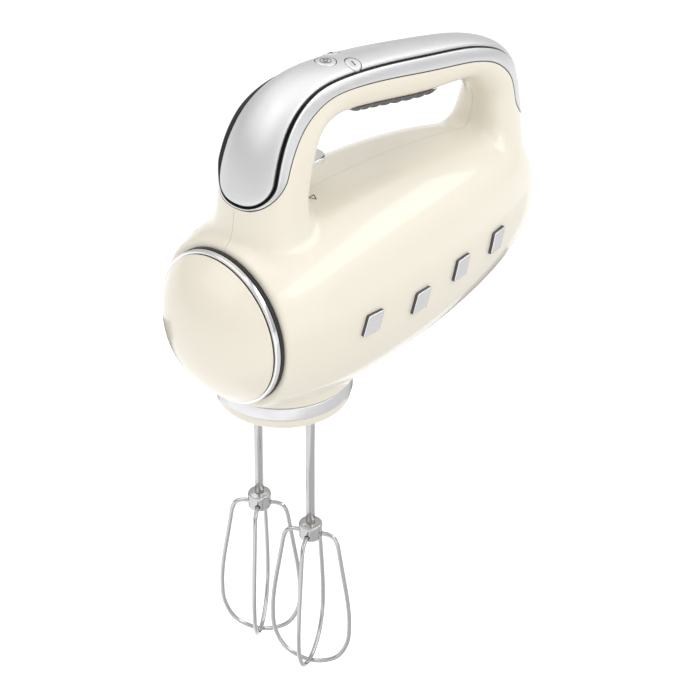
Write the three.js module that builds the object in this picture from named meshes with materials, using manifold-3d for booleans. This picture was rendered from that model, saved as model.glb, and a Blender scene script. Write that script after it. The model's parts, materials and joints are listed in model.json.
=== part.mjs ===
// Retro two-beater hand mixer, rebuilt as an assembly of separate solids.
// Millimetres, +Z up, front dome towards -Y, controls and badge flank towards +X.
// Origin: midway between the two beater sockets, on the flat underside of the beater boss.
import * as THREE from 'three';
import { mergeVertices } from 'three/addons/utils/BufferGeometryUtils.js';
import Module from 'manifold-3d';

const wasm = await Module();
wasm.setup();

// ---------------------------------------------------------------- driving dimensions
const GAP = 0.3; // clearance between neighbouring solids
const WALL = 2.6; // housing wall
const SPLIT = 0.15; // half of the joint gap between the housing halves

const BEATER_SPACING = 38;
const SOCKET_X = BEATER_SPACING / 2;
const MOTOR_Z = 60; // height of the motor axis

const BODY = {
  front: -38, // plane that the housing opens at, behind the dome
  widest: 25,
  radius: 51.3,
  noseLength: 112,
  nosePower: [2, 0.5],
  tailLength: 147,
  tailPower: [1.85, 0.36],
  squareness: 2.3,
  axisHeight: 57.2,
  axisRise: 0.03,
};
const CAP = { radius: 38.6, depth: 19.5, base: -43.7, wall: 2.4, centreZ: 57.6 };
const RING = { outer: 40.2, inner: 37.9, front: -43.4, back: -40.6 };
const GASKET = { outer: 40.8, inner: 36.5, front: -40.3, back: -38.3 };
const BOSS = { radius: 33.9, rim: 5.6, spigot: 32.6, top: 14 };
const TRIM = { lower: 35.3, upper: 34.8, inner: 33, bottom: 5.9, top: 13 };
const NECK = { radius: 34.5, bore: 33, top: 34 };

const COVER_T = 1.6; // satin cover on the handle
const SADDLE_T = 1.2; // chrome bezel below the cover
const COVER_FLOOR = COVER_T + GAP;
const BEZEL_FLOOR = COVER_FLOOR + SADDLE_T;
const POCKET_FLOOR = BEZEL_FLOOR + GAP;

const SHAFT_R = 2.35; // beater shaft
const WIRE_R = 1.0;
const HUB = { radius: 6.2, top: -72, height: 9.2, hole: -78.2 };
// centre line of half a wire loop, radius and height, from its hub hole to near its lowest point
const WIRE_LOOP = [
  [4, -78.2], [9.5, -78.4], [12.6, -79.8], [14.6, -84], [16, -92], [17.4, -101],
  [20.4, -121], [21.3, -134], [20.3, -147.5], [15, -158.5], [7.5, -163.3],
];
const WIRE_LOOP_LOW = -164.9;
const LOOP_STEP = 2 * WIRE_R + 0.5; // the second loop crosses this far above the first
const BEATER_TOP = 46;
const EJECT_TRAVEL = 5;

const SPINDLE = { outer: 5.2, bore: 2.75, bottom: 1, top: 78 };
const BUSH = { outer: 8 };
const GEAR = { outer: 13.5, root: 12.1, width: 10, teeth: 16 };
const WORM = { outer: 5, root: 3.9, pitch: 5.03 }; // one gear tooth per turn
const CHASSIS = { floor: 22, bridge: 70, plate: 4 };
const MOTOR = { front: 58, back: 98, outer: 26, shaft: 3, armature: 16.5 };
const FAN = { front: 38, radius: 21 };
const EJECT = { plateZ: 84, plate: 3, stemY: -1, tipY: 27, tongueZ: 126.5, tongueT: 2.6, halfWidth: 7.5 };
const BUTTON = { proud: 0.5, depth: 2.4 };
// name, station along the handle, degrees round from the crest, radius
const BUTTONS = [['power_button', 7.22, 0, 5.2], ['speed_down_button', 7.55, 27, 4.3], ['speed_up_button', 7.55, -27, 4.3]];
const GRIP = { start: 7.2, end: 9.4, ribs: 8, gap: 0.5, base: 1, rib: 1.8, halfAngle: 0.95 };
const GLAND = { z: 46, bore: 3.4, neck: 5, flange: 7, face: 171 };
const SCREW = { head: 2.9, headHeight: 2.4, shank: 1.5, seat: -9, end: 9, boss: 4.6 };
// y, z and half length of the boss that each case screw pulls together
const SCREWS = [[-27, 90, 25], [70, 23, 27], [150, 64, 28], [151, 108, 14]];

// ---------------------------------------------------------------- materials
const finish = (color, roughness, metalness) => new THREE.MeshStandardMaterial({ color, roughness, metalness });
const CREAM = finish(0xf0e8d0, 0.25, 0);
const CHROME = finish(0xd8d8da, 0.12, 1);
const SATIN = finish(0xc4c5c8, 0.3, 1);
const STEEL = finish(0xb4b5b6, 0.28, 1);
const RUBBER = finish(0x77797c, 0.75, 0);
const BLACK = finish(0x1b1b1c, 0.5, 0);
const COPPER = finish(0xa8602c, 0.4, 1);
const BRASS = finish(0xb89a55, 0.35, 1);
const IRON = finish(0x55585c, 0.5, 1);
const NYLON = finish(0xe8e6dc, 0.5, 0);
const BOARD = finish(0x1f5b3a, 0.5, 0);

// ---------------------------------------------------------------- solid helpers
function cleaned(geometry) {
  let g = geometry.clone();
  for (const name of ['normal', 'uv']) g.deleteAttribute(name);
  g = mergeVertices(g, 1e-3);
  const position = g.attributes.position;
  const kept = [];
  for (let k = 0; k < g.index.count; k += 3) {
    const [a, b, c] = [0, 1, 2].map((j) => g.index.getX(k + j));
    if (a !== b && b !== c && c !== a) kept.push(a, b, c);
  }
  const corner = [new THREE.Vector3(), new THREE.Vector3(), new THREE.Vector3()];
  let volume = 0;
  for (let k = 0; k < kept.length; k += 3) {
    corner.forEach((p, j) => p.fromBufferAttribute(position, kept[k + j]));
    volume += corner[0].dot(corner[1].clone().cross(corner[2]));
  }
  if (volume < 0) kept.reverse();
  g.setIndex(kept);
  return g;
}

function solid(geometry) {
  const g = cleaned(geometry);
  return new wasm.Manifold(new wasm.Mesh({
    numProp: 3,
    vertProperties: new Float32Array(g.attributes.position.array),
    triVerts: new Uint32Array(g.index.array),
  }));
}

function geometryOf(manifold) {
  const m = manifold.getMesh();
  const g = new THREE.BufferGeometry();
  g.setAttribute('position', new THREE.BufferAttribute(new Float32Array(m.vertProperties), 3));
  g.setIndex(Array.from(m.triVerts));
  return g;
}

const join = (first, ...rest) => rest.reduce((sum, next) => sum.add(next), first);
const cut = (first, ...rest) => rest.reduce((sum, next) => sum.subtract(next), first);

const box = (x0, x1, y0, y1, z0, z1) => solid(
  new THREE.BoxGeometry(x1 - x0, y1 - y0, z1 - z0)
    .translate((x0 + x1) / 2, (y0 + y1) / 2, (z0 + z1) / 2),
);
const rodZ = (x, y, r, z0, z1, sides = 24) => solid(
  new THREE.CylinderGeometry(r, r, z1 - z0, sides).rotateX(Math.PI / 2).translate(x, y, (z0 + z1) / 2),
);
const rodY = (x, z, r, y0, y1, sides = 24) => solid(
  new THREE.CylinderGeometry(r, r, y1 - y0, sides).translate(x, (y0 + y1) / 2, z),
);
const rodX = (y, z, r, x0, x1, sides = 24) => solid(
  new THREE.CylinderGeometry(r, r, x1 - x0, sides).rotateZ(Math.PI / 2).translate((x0 + x1) / 2, y, z),
);

// Turned piece about an axis along Z (or Y): profile of [radius, height] that closes on itself or on the axis.
const profile = (points) => points.map(([r, h]) => new THREE.Vector2(r, h));
const turnedZ = (points, x = 0, y = 0, sides = 32) => solid(
  new THREE.LatheGeometry(profile(points), sides).rotateX(Math.PI / 2).translate(x, y, 0),
);
const turnedY = (points, x = 0, z = 0, sides = 32) => solid(
  new THREE.LatheGeometry(profile(points), sides).translate(x, 0, z),
);
const tube = (inner, outer, h0, h1) => [[inner, h0], [outer, h0], [outer, h1], [inner, h1], [inner, h0]];

// Outline in X and Z pushed along Y from y0 to y1.
function extrudeY(shape, y0, y1, curveSegments = 7) {
  const g = new THREE.ExtrudeGeometry(shape, { depth: y1 - y0, bevelEnabled: false, curveSegments });
  return solid(g.rotateX(Math.PI / 2).translate(0, y1, 0));
}

// Closed rings of equal length become a solid: quads between rings, flat ends cut by ear clipping.
function loft(rings) {
  const n = rings[0].length;
  const positions = rings.flatMap((ring) => ring.flatMap((p) => [p.x, p.y, p.z]));
  const index = [];
  for (let k = 0; k < rings.length - 1; k++) {
    for (let j = 0; j < n; j++) {
      const a = k * n + j;
      const b = k * n + (j + 1) % n;
      index.push(a, b, b + n, a, b + n, a + n);
    }
  }
  const capEnd = (ring, first, followsRing) => {
    const across = new THREE.Vector3(1, 0, 0);
    const along = new THREE.Vector3();
    for (const p of ring) {
      const d = p.clone().sub(ring[0]).setX(0);
      if (d.lengthSq() > along.lengthSq()) along.copy(d);
    }
    along.normalize();
    const flat = ring.map((p) => new THREE.Vector2(p.dot(across), p.dot(along)));
    const ringTurn = THREE.ShapeUtils.area(flat) > 0;
    for (const [a, b, c] of THREE.ShapeUtils.triangulateShape(flat, [])) {
      const sameTurn = (THREE.ShapeUtils.area([flat[a], flat[b], flat[c]]) > 0) === ringTurn;
      if (sameTurn === followsRing) index.push(first + a, first + b, first + c);
      else index.push(first + c, first + b, first + a);
    }
  };
  capEnd(rings[0], 0, false);
  capEnd(rings.at(-1), (rings.length - 1) * n, true);
  const g = new THREE.BufferGeometry();
  g.setAttribute('position', new THREE.BufferAttribute(new Float32Array(positions), 3));
  g.setIndex(index);
  return solid(g);
}

const steps = (from, to, count) => Array.from({ length: count + 1 }, (_, k) => from + (to - from) * k / count);

// ---------------------------------------------------------------- body: superellipse sections along Y
function bodyRadius(y) {
  const nose = y < BODY.widest;
  const [power, root] = nose ? BODY.nosePower : BODY.tailPower;
  const t = nose ? (BODY.widest - y) / BODY.noseLength : (y - BODY.widest) / BODY.tailLength;
  return BODY.radius * (1 - Math.min(t, 1) ** power) ** root;
}
const bodyAxisZ = (y) => BODY.axisHeight + BODY.axisRise * (y - BODY.front);

function bodySection(y, inset, points) {
  const r = bodyRadius(y) - inset;
  const squared = (c) => Math.sign(c) * Math.abs(c) ** (2 / BODY.squareness);
  return steps(0, 2 * Math.PI, points).slice(0, -1).map((a) => new THREE.Vector3(
    r * squared(Math.cos(a)),
    y,
    bodyAxisZ(y) + r * squared(Math.sin(a)),
  ));
}

function bodySolid(inset, front, points, noseSteps, tailSteps) {
  const tail = BODY.tailLength - inset;
  const nose = steps(front, BODY.widest, noseSteps).slice(0, -1);
  const tailEnd = steps(0, Math.PI / 2 - 0.06, tailSteps).map((a) => BODY.widest + tail * Math.sin(a));
  const scaled = (y) => (y <= BODY.widest ? y : BODY.widest + (y - BODY.widest) * BODY.tailLength / tail);
  const rings = [...nose, ...tailEnd].map((y) => {
    const ring = bodySection(scaled(y), 0, points);
    const shrink = (bodyRadius(scaled(y)) - inset) / bodyRadius(scaled(y));
    const keep = y <= BODY.widest ? shrink : (BODY.radius - inset) / BODY.radius;
    const axis = bodyAxisZ(scaled(y));
    return ring.map((p) => new THREE.Vector3(p.x * keep, y, axis + (p.z - axis) * keep));
  });
  return loft(rings);
}

// ---------------------------------------------------------------- handle: stations from the front foot to the rear foot
// Each station: outer crest (y, z), inner face (y, z), half width, cover edge and bezel edge angles in degrees.
const HANDLE = [
  [[-34, 90], [18, 88], 26, 50, 66],
  [[-33, 104], [14.5, 104], 24.5, 50, 66],
  [[-31, 120], [10.2, 119], 23, 50, 66],
  [[-27.5, 136], [9.6, 131], 22.2, 50, 67],
  [[-21.5, 151], [12, 140.5], 21, 49, 69],
  [[-11, 164], [17, 146.6], 19, 48, 72],
  [[4, 172], [25, 149], 17, 47, 74],
  [[24, 174.5], [36, 148.4], 15.5, 47, 75],
  [[57, 170.8], [58, 144.4], 14.8, 45, 76],
  [[92, 164], [88, 138.4], 14, 44, 78],
  [[120, 157.5], [112, 135.8], 13.5, 42, 79],
  [[138, 151.5], [124, 134], 13.5, 41, 79],
  [[150, 145.5], [131, 130], 13.5, 40, 78],
  [[158.5, 138], [136, 124], 13.8, 40, 76],
  [[163.5, 129], [138.5, 118.5], 14.2, 40, 75],
  [[165.5, 118], [138, 111], 15.5, 40, 74],
  [[166.5, 104], [133, 102], 18, 40, 72],
  [[167, 90], [126, 92], 21, 40, 72],
];
const SECTION = { upperPower: 2.3, lowerPower: 2.3, widestAt: -0.12 };
const COVER_SPAN = { start: 2.07, startFull: 3.0, endFull: 15.2, end: 16.1 };
const BEZEL_SPAN = { start: 1.98, startFull: 3.2, endFull: 15.0, end: 16.25 };

const curveOf = (pick) => new THREE.CatmullRomCurve3(
  HANDLE.map((station) => pick(station)), false, 'catmullrom', 0.5,
);
const outerCurve = curveOf(([[y, z]]) => new THREE.Vector3(0, y, z));
const innerCurve = curveOf(([, [y, z]]) => new THREE.Vector3(0, y, z));
const widthCurve = curveOf(([, , halfWidth, coverEdge, bezelEdge]) => (
  new THREE.Vector3(halfWidth, coverEdge, bezelEdge)));
const at = (curve, u) => curve.getPoint(THREE.MathUtils.clamp(u / (HANDLE.length - 1), 0, 1));

// Point of the handle's skin at station u and angle phi from the crest, moved inwards by depth.
function skin(u, phi, depth) {
  const outer = at(outerCurve, u);
  const inner = at(innerCurve, u);
  const halfWidth = at(widthCurve, u).x;
  const half = outer.clone().sub(inner).multiplyScalar(0.5);
  const middle = outer.clone().add(inner).multiplyScalar(0.5);
  const h = half.length();
  const flat = (angle) => {
    const c = Math.cos(angle);
    const s = Math.sin(angle);
    const power = 2 / (c > 0 ? SECTION.upperPower : SECTION.lowerPower);
    const reach = c > 0 ? 1 - SECTION.widestAt : 1 + SECTION.widestAt;
    return new THREE.Vector2(
      halfWidth * Math.sign(s) * Math.abs(s) ** power,
      h * (SECTION.widestAt + reach * Math.sign(c) * Math.abs(c) ** power),
    );
  };
  const p = flat(phi);
  const tangent = flat(phi + 0.05).sub(flat(phi - 0.05)).normalize();
  const q = p.add(new THREE.Vector2(-tangent.y, tangent.x).multiplyScalar(-depth));
  return middle.clone().add(half.clone().multiplyScalar(q.y / h)).setX(q.x);
}

const rad = THREE.MathUtils.degToRad;
function edgeAngle(u, span, which) {
  const full = rad(at(widthCurve, u)[which]);
  let t = 0;
  if (u < span.startFull) t = (span.startFull - u) / (span.startFull - span.start);
  if (u > span.endFull) t = (u - span.endFull) / (span.end - span.endFull);
  return full * Math.sqrt(Math.max(1 - t * t, 0.004));
}
const coverEdge = (u, span = COVER_SPAN) => edgeAngle(u, span, 'y');
const bezelEdge = (u, span = BEZEL_SPAN) => edgeAngle(u, span, 'z');

// Half stations, but for the ends and one straight stretch.
const STATIONS = [0, 1, ...steps(2, 9.5, 15), 10, ...steps(11, 16, 10), 17];

// Stations of a strip, closer together at its rounded ends.
function stationsOf(span) {
  const near = [0, 0.07, 0.22];
  return [
    ...near.map((d) => span.start + d),
    ...STATIONS.filter((u) => u > span.start + 0.3 && u < span.end - 0.3),
    ...near.toReversed().map((d) => span.end - d),
  ];
}

// Strip of the skin between -edge and +edge, from the outer depth to the inner depth.
function strip(stations, edge, outerDepth, innerDepth, across = 6) {
  return loft(stations.map((u) => {
    const angles = steps(-edge(u), edge(u), across);
    return [
      ...angles.map((a) => skin(u, a, outerDepth)),
      ...angles.toReversed().map((a) => skin(u, a, innerDepth)),
    ];
  }));
}

function handleSolid(depth, stations, points) {
  return loft(stations.map((u) => (
    steps(-Math.PI, Math.PI, points).slice(0, -1).map((a) => skin(u, a, depth)))));
}

// ---------------------------------------------------------------- outer shells
const group = new THREE.Group();
function place(name, manifold, material) {
  const mesh = new THREE.Mesh(geometryOf(manifold), material);
  mesh.name = name;
  group.add(mesh);
}
const PROUD = 6;
const far = 400;
const pocketAngle = 0.05;
const widened = (span) => ({ ...span, start: span.start - 0.08, end: span.end + 0.08 });

// Recess that a strip lies in: wider than the strip all round, open outwards.
function pocket(span, edge, floor) {
  const room = widened(span);
  return strip([room.start, ...stationsOf(span), room.end], (u) => edge(u, room) + pocketAngle, -PROUD, floor);
}

const handleOuter = handleSolid(0, STATIONS, 20);
const bezelPocket = pocket(BEZEL_SPAN, bezelEdge, POCKET_FLOOR + 0.2);
const neck = turnedZ([[0, TRIM.top + GAP], [NECK.radius, TRIM.top + GAP], [NECK.radius, NECK.top], [0, NECK.top]]);
const bossRoom = rodZ(0, 0, TRIM.lower + GAP, -10, TRIM.top + GAP, 36);
const outside = cut(join(bodySolid(0, BODY.front, 30, 4, 11), handleOuter, neck), bezelPocket, bossRoom);
const inside = join(
  bodySolid(WALL, BODY.front - 1, 18, 3, 7),
  handleSolid(POCKET_FLOOR + 2, steps(0.5, 16.5, 16), 12),
  rodZ(0, 0, NECK.bore, TRIM.top - 1, NECK.top, 32),
);
const screwBosses = SCREWS.map(([y, z, reach]) => rodX(y, z, SCREW.boss, -reach, reach, 12));
const screwHoles = SCREWS.flatMap(([y, z]) => [
  rodX(y, z, SCREW.head + GAP, -far, SCREW.seat, 12),
  rodX(y, z, SCREW.shank + GAP, SCREW.seat - 20, SCREW.end + 1, 12),
]);
const shell = cut(
  join(cut(outside, inside), ...screwBosses),
  ...screwHoles,
  box(-EJECT.halfWidth - 0.6, EJECT.halfWidth + 0.6, 2, 30,
    EJECT.tongueZ - EJECT_TRAVEL - 0.6, EJECT.tongueZ + EJECT.tongueT + 0.6),
  rodY(0, GLAND.z, GLAND.neck + GAP, 140, 200, 16),
);
place('housing_left', shell.intersect(box(-far, -SPLIT, -far, far, -far, far)), CREAM);
place('housing_right', shell.intersect(box(SPLIT, far, -far, far, -far, far)), CREAM);
SCREWS.forEach(([y, z], k) => {
  const screw = new THREE.LatheGeometry(profile([[0, 0], [SCREW.head, 0], [SCREW.head, SCREW.headHeight],
    [SCREW.shank, SCREW.headHeight], [SCREW.shank, SCREW.end - SCREW.seat + SCREW.headHeight],
    [0, SCREW.end - SCREW.seat + SCREW.headHeight]]), 12);
  place(`case_screw_${k + 1}`, solid(screw.rotateZ(-Math.PI / 2).translate(SCREW.seat - SCREW.headHeight - GAP, y, z)), STEEL);
});

// Buttons: plugs of the cover's own skin, each sliding along the skin's normal at its middle.
const plugSkin = strip([6.4, 6.9, 7.2, 7.5, 8, 8.6], () => 0.9, -BUTTON.proud, BUTTON.depth, 8);
function buttonRod(u, degrees, radius) {
  const d = 0.02;
  const p = skin(u, rad(degrees), 0);
  const along = skin(u + d, rad(degrees), 0).sub(skin(u - d, rad(degrees), 0));
  const around = skin(u, rad(degrees) + d, 0).sub(skin(u, rad(degrees) - d, 0));
  const normal = around.cross(along).normalize();
  const rod = new THREE.CylinderGeometry(radius, radius, 12, 14);
  const turn = new THREE.Quaternion().setFromUnitVectors(new THREE.Vector3(0, 1, 0), normal);
  return { rod: solid(rod.applyQuaternion(turn).translate(p.x, p.y, p.z)), normal, p };
}
BUTTONS.forEach(([name, u, degrees, radius]) => {
  place(name, buttonRod(u, degrees, radius).rod.intersect(plugSkin), SATIN);
});
const buttonHoles = (clearance) => BUTTONS.map(([, u, degrees, radius]) => (
  buttonRod(u, degrees, radius + clearance).rod));

const coverPocket = pocket(COVER_SPAN, coverEdge, COVER_FLOOR);
const bezelStrip = strip(stationsOf(BEZEL_SPAN), (u) => bezelEdge(u), 0, BEZEL_FLOOR);
const bezel = cut(bezelStrip, coverPocket, ...buttonHoles(0.8));
place('handle_bezel', bezel, CHROME);
const coverStrip = strip(stationsOf(COVER_SPAN), (u) => coverEdge(u), -0.2, COVER_T);
place('handle_cover', cut(coverStrip, ...buttonHoles(GAP)), SATIN);

// ribbed grip insert along the inner side of the grip
const ribStations = steps(GRIP.start, GRIP.end, GRIP.ribs * 3);
place('grip_pad', loft(ribStations.map((u, k) => {
  const end = k === 0 || k === ribStations.length - 1;
  const height = end ? GRIP.base : GRIP.base + GRIP.rib * [0, 0.9, 1][k % 3];
  const angles = steps(Math.PI - GRIP.halfAngle, Math.PI + GRIP.halfAngle, 4);
  return [
    ...angles.map((a, j) => skin(u, a, j % 4 ? -GRIP.gap - height : -GRIP.gap - 0.6)),
    ...angles.toReversed().map((a) => skin(u, a, -GRIP.gap)),
  ];
})), RUBBER);

// ---------------------------------------------------------------- front cap
const capArc = (inset, count) => {
  const radius = CAP.radius - inset;
  const depth = CAP.depth - inset;
  const sphere = (radius ** 2 + depth ** 2) / (2 * depth);
  return steps(Math.asin(radius / sphere), 0, count).map((a) => (
    [sphere * Math.sin(a), CAP.base + sphere - depth - sphere * Math.cos(a)]));
};
place('front_cap', turnedY([...capArc(0, 7), ...capArc(CAP.wall, 4).reverse(), [CAP.radius, CAP.base]],
  0, CAP.centreZ, 30), CREAM);
place('cap_ring', turnedY(tube(RING.inner, RING.outer, RING.front, RING.back), 0, CAP.centreZ, 36), CHROME);
place('cap_gasket', turnedY(tube(GASKET.inner, GASKET.outer, GASKET.front, GASKET.back), 0, CAP.centreZ, 30), BLACK);

// ---------------------------------------------------------------- boss
place('boss_trim', turnedZ([[TRIM.inner, TRIM.bottom], [TRIM.lower, TRIM.bottom], [TRIM.upper, TRIM.top],
  [TRIM.inner, TRIM.top], [TRIM.inner, TRIM.bottom]], 0, 0, 36), CHROME);

place('beater_boss', cut(
  turnedZ([[0, 0], [BOSS.radius - 1.2, 0], [BOSS.radius, 1.2], [BOSS.radius + 0.4, BOSS.rim],
    [BOSS.spigot, BOSS.rim], [BOSS.spigot, BOSS.top], [0, BOSS.top], [0, 0]], 0, 0, 36),
  ...[-SOCKET_X, SOCKET_X].map((x) => rodZ(x, 0, SPINDLE.outer + 0.5, -1, BOSS.top + 1, 16)),
), CREAM);

// ---------------------------------------------------------------- badge studs: plain lozenges along the flank
const STUD = { size: 10.5, slant: 0.35, height: 1.4, places: [[10.5, 59.3], [45, 57], [77.5, 61.3], [111, 61.8]] };
function flankX(y, z) {
  const t = Math.abs(z - bodyAxisZ(y)) / bodyRadius(y);
  return bodyRadius(y) * (1 - t ** BODY.squareness) ** (1 / BODY.squareness);
}
STUD.places.forEach(([y, z], k) => {
  const d = 3;
  const along = new THREE.Vector3(flankX(y + d, z) - flankX(y - d, z), 2 * d, 0).normalize();
  const up = new THREE.Vector3(flankX(y, z + d) - flankX(y, z - d), 0, 2 * d).normalize();
  const normal = along.clone().cross(up).normalize();
  const centre = new THREE.Vector3(flankX(y, z), y, z);
  const outline = [[-1, -1], [1, -1], [1, 1], [-1, 1]].map(([a, b]) => [a + STUD.slant * b, b]);
  const ring = (scale, out) => outline.map(([a, b]) => centre.clone()
    .addScaledVector(along, a * scale)
    .addScaledVector(up, b * scale)
    .addScaledVector(normal, out));
  const half = STUD.size / 2;
  const stud = loft([ring(half, GAP + 0.1), ring(half, GAP + 0.9), ring(half - 0.5, GAP + STUD.height)]);
  place(`flank_stud_${k + 1}`, stud, CHROME);
});

// ---------------------------------------------------------------- drive train
for (const [side, sign] of [['left', -1], ['right', 1]]) {
  const x = sign * SOCKET_X;
  place(`spindle_${side}`, turnedZ([...tube(SPINDLE.bore, SPINDLE.outer, SPINDLE.bottom, SPINDLE.top)], x, 0, 16), STEEL);
  place(`worm_gear_${side}`, wormGear(x), NYLON);
  place(`spindle_bush_${side}`, turnedZ(tube(SPINDLE.outer + GAP, BUSH.outer, CHASSIS.floor - 0.5,
    CHASSIS.floor + CHASSIS.plate + 0.5), x, 0, 14), BRASS);
}

function wormGear(x) {
  const shape = new THREE.Shape();
  const perTooth = [[0, 0], [0.2, 0], [0.35, 1], [0.65, 1], [0.8, 0]];
  for (let k = 0; k < GEAR.teeth; k++) {
    perTooth.slice(1).forEach(([f, high], j) => {
      const a = 2 * Math.PI * (k + f) / GEAR.teeth;
      const r = high ? GEAR.outer : GEAR.root;
      if (k === 0 && j === 0) shape.moveTo(r * Math.cos(a), r * Math.sin(a));
      else shape.lineTo(r * Math.cos(a), r * Math.sin(a));
    });
  }
  shape.closePath();
  const hole = new THREE.Path().absarc(0, 0, SPINDLE.outer + GAP, 0, 2 * Math.PI, true);
  shape.holes.push(hole);
  const g = new THREE.ExtrudeGeometry(shape, { depth: GEAR.width, bevelEnabled: false, curveSegments: 8 });
  return solid(g.translate(x, 0, MOTOR_Z - GEAR.width / 2));
}

const chassis = cut(
  join(
    box(-27, 27, -22, 26, CHASSIS.floor, CHASSIS.floor + CHASSIS.plate),
    box(-28, 28, -22, 26, CHASSIS.bridge, CHASSIS.bridge + CHASSIS.plate),
    box(-20, 20, -22, -18, CHASSIS.floor + 1, CHASSIS.bridge + 1),
    box(-20, 20, 22, 26, CHASSIS.floor + 1, CHASSIS.bridge + 1),
    box(-28, -24.6, 25, MOTOR.front - GAP, 54, 66),
    box(24.6, 28, 25, MOTOR.front - GAP, 54, 66),
    box(-28, 28, 22, 26, 54, 66),
  ),
  rodY(0, MOTOR_Z, BUSH.outer + GAP, -30, 40, 16),
  ...[-SOCKET_X, SOCKET_X].flatMap((x) => [
    rodZ(x, 0, BUSH.outer + GAP, 10, 40, 16),
    rodZ(x, 0, SPINDLE.outer + GAP, 40, 90, 16),
  ]),
);
place('gear_chassis', chassis, finish(0xa9abac, 0.45, 1));

// worm: a ridge that winds round its core, cut through by the motor shaft
function wormRing(y) {
  return steps(0, 2 * Math.PI, 10).slice(0, -1).map((a) => {
    const wave = Math.cos(a - 2 * Math.PI * y / WORM.pitch);
    const r = WORM.root + (WORM.outer - WORM.root) * THREE.MathUtils.smoothstep(wave, -0.2, 0.7);
    return new THREE.Vector3(r * Math.cos(a), y, MOTOR_Z + r * Math.sin(a));
  });
}
const shaftHole = (y0, y1) => rodY(0, MOTOR_Z, MOTOR.shaft + GAP, y0 - 1, y1 + 1, 16);
place('worm', cut(loft(steps(-13, 13, 22).map(wormRing)), shaftHole(-13, 13)), BRASS);
place('motor_shaft', rodY(0, MOTOR_Z, MOTOR.shaft, -25, 134, 16), STEEL);
for (const [name, y] of [['front_bearing', -20], ['middle_bearing', 24], ['rear_bearing', 126]]) {
  place(name, turnedY(tube(MOTOR.shaft + GAP, BUSH.outer, y - 3, y + 3), 0, MOTOR_Z, 14), STEEL);
}

function slotted(radius, depth, slots) {
  const shape = new THREE.Shape();
  for (let k = 0; k < slots; k++) {
    [[-0.42, radius], [0, radius], [0.42, radius], [0.44, radius - depth], [0.56, radius - depth]]
      .forEach(([f, r], j) => {
        const a = 2 * Math.PI * (k + f) / slots;
        if (k === 0 && j === 0) shape.moveTo(r * Math.cos(a), r * Math.sin(a));
        else shape.lineTo(r * Math.cos(a), r * Math.sin(a));
      });
  }
  shape.closePath();
  shape.holes.push(new THREE.Path().absarc(0, 0, MOTOR.shaft + GAP, 0, 2 * Math.PI, true));
  return shape;
}
const onMotorAxis = (manifold) => manifold.translate(0, 0, MOTOR_Z);
place('armature_core', onMotorAxis(extrudeY(slotted(MOTOR.armature, 5, 12), MOTOR.front + 2, MOTOR.back - 2, 6)), IRON);
for (const [name, y0, y1] of [['armature_winding_front', MOTOR.front - 6, MOTOR.front + 2 - GAP],
  ['armature_winding_rear', MOTOR.back - 2 + GAP, MOTOR.back + 6]]) {
  place(name, turnedY([[MOTOR.shaft + GAP, y0], [11, y0], [13.5, y0 + 2.5], [13.5, y1 - 1], [12.5, y1],
    [MOTOR.shaft + GAP, y1], [MOTOR.shaft + GAP, y0]], 0, MOTOR_Z, 14), COPPER);
}
place('commutator', onMotorAxis(extrudeY(slotted(9.5, 1, 12), 107, 119, 4)), COPPER);

// stator: rounded block with two poles; the field coils lie in the slots beside them
function ringSector(r0, r1, a0, a1) {
  const shape = new THREE.Shape();
  shape.absarc(0, 0, r1, a0, a1, false);
  shape.absarc(0, 0, r0, a1, a0, true);
  shape.closePath();
  return shape;
}
const poleEdge = rad(44);
const yoke = cut(
  rodY(0, 0, MOTOR.outer, MOTOR.front, MOTOR.back, 28),
  rodY(0, 0, 23.8, MOTOR.front - 1, MOTOR.back + 1, 28),
);
const poles = [0, Math.PI].map((turn) => (
  extrudeY(ringSector(MOTOR.armature + 0.8, 24.9, turn + poleEdge, turn + Math.PI - poleEdge), MOTOR.front, MOTOR.back)));
place('motor_stator', onMotorAxis(join(yoke, ...poles)), IRON);
for (const [name, turn] of [['field_coil_upper', 0], ['field_coil_lower', Math.PI]]) {
  const from = turn + rad(12);
  const to = turn + rad(168);
  const coil = cut(
    extrudeY(ringSector(MOTOR.armature + 1.2, 23.2, from, to), MOTOR.front - 7, MOTOR.back + 7),
    extrudeY(ringSector(MOTOR.armature - 1, 30, turn + rad(41), turn + rad(139)), MOTOR.front - 0.5, MOTOR.back + 0.5),
  );
  place(name, onMotorAxis(coil), COPPER);
}

const fanBlades = steps(0, 2 * Math.PI, 8).slice(0, -1).map((a) => (
  box(-0.8, 0.8, FAN.front, FAN.front + 8, 6, FAN.radius).rotate(0, THREE.MathUtils.radToDeg(a), 0)));
place('cooling_fan', cut(
  onMotorAxis(join(rodY(0, 0, 7, FAN.front, FAN.front + 9, 18), rodY(0, 0, FAN.radius - 1, FAN.front + 7, FAN.front + 9, 20),
    ...fanBlades)),
  shaftHole(FAN.front, FAN.front + 9),
), NYLON);

const bracket = cut(
  join(
    box(-26, 26, 124, 128, 48, 72),
    rodY(0, MOTOR_Z, 14, 124, 128, 24),
    box(-28, -24.4, MOTOR.back + GAP, 127, 55, 65),
    box(24.4, 28, MOTOR.back + GAP, 127, 55, 65),
  ),
  rodY(0, MOTOR_Z, BUSH.outer + GAP, 120, 132),
);
place('rear_motor_bracket', bracket, finish(0xa9abac, 0.45, 1));

for (const [side, sign] of [['left', -1], ['right', 1]]) {
  const span = (a, b) => [Math.min(sign * a, sign * b), Math.max(sign * a, sign * b)];
  place(`brush_${side}`, box(...span(9.9, 21), 110.4, 115.6, 57.4, 62.6), BLACK);
  place(`brush_holder_${side}`, cut(
    box(...span(12, 23.8), 108.6, 117.4, 55.6, 64.4),
    box(...span(11, 21.4), 110.1, 115.9, 57.1, 62.9),
  ), BRASS);
}

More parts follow.
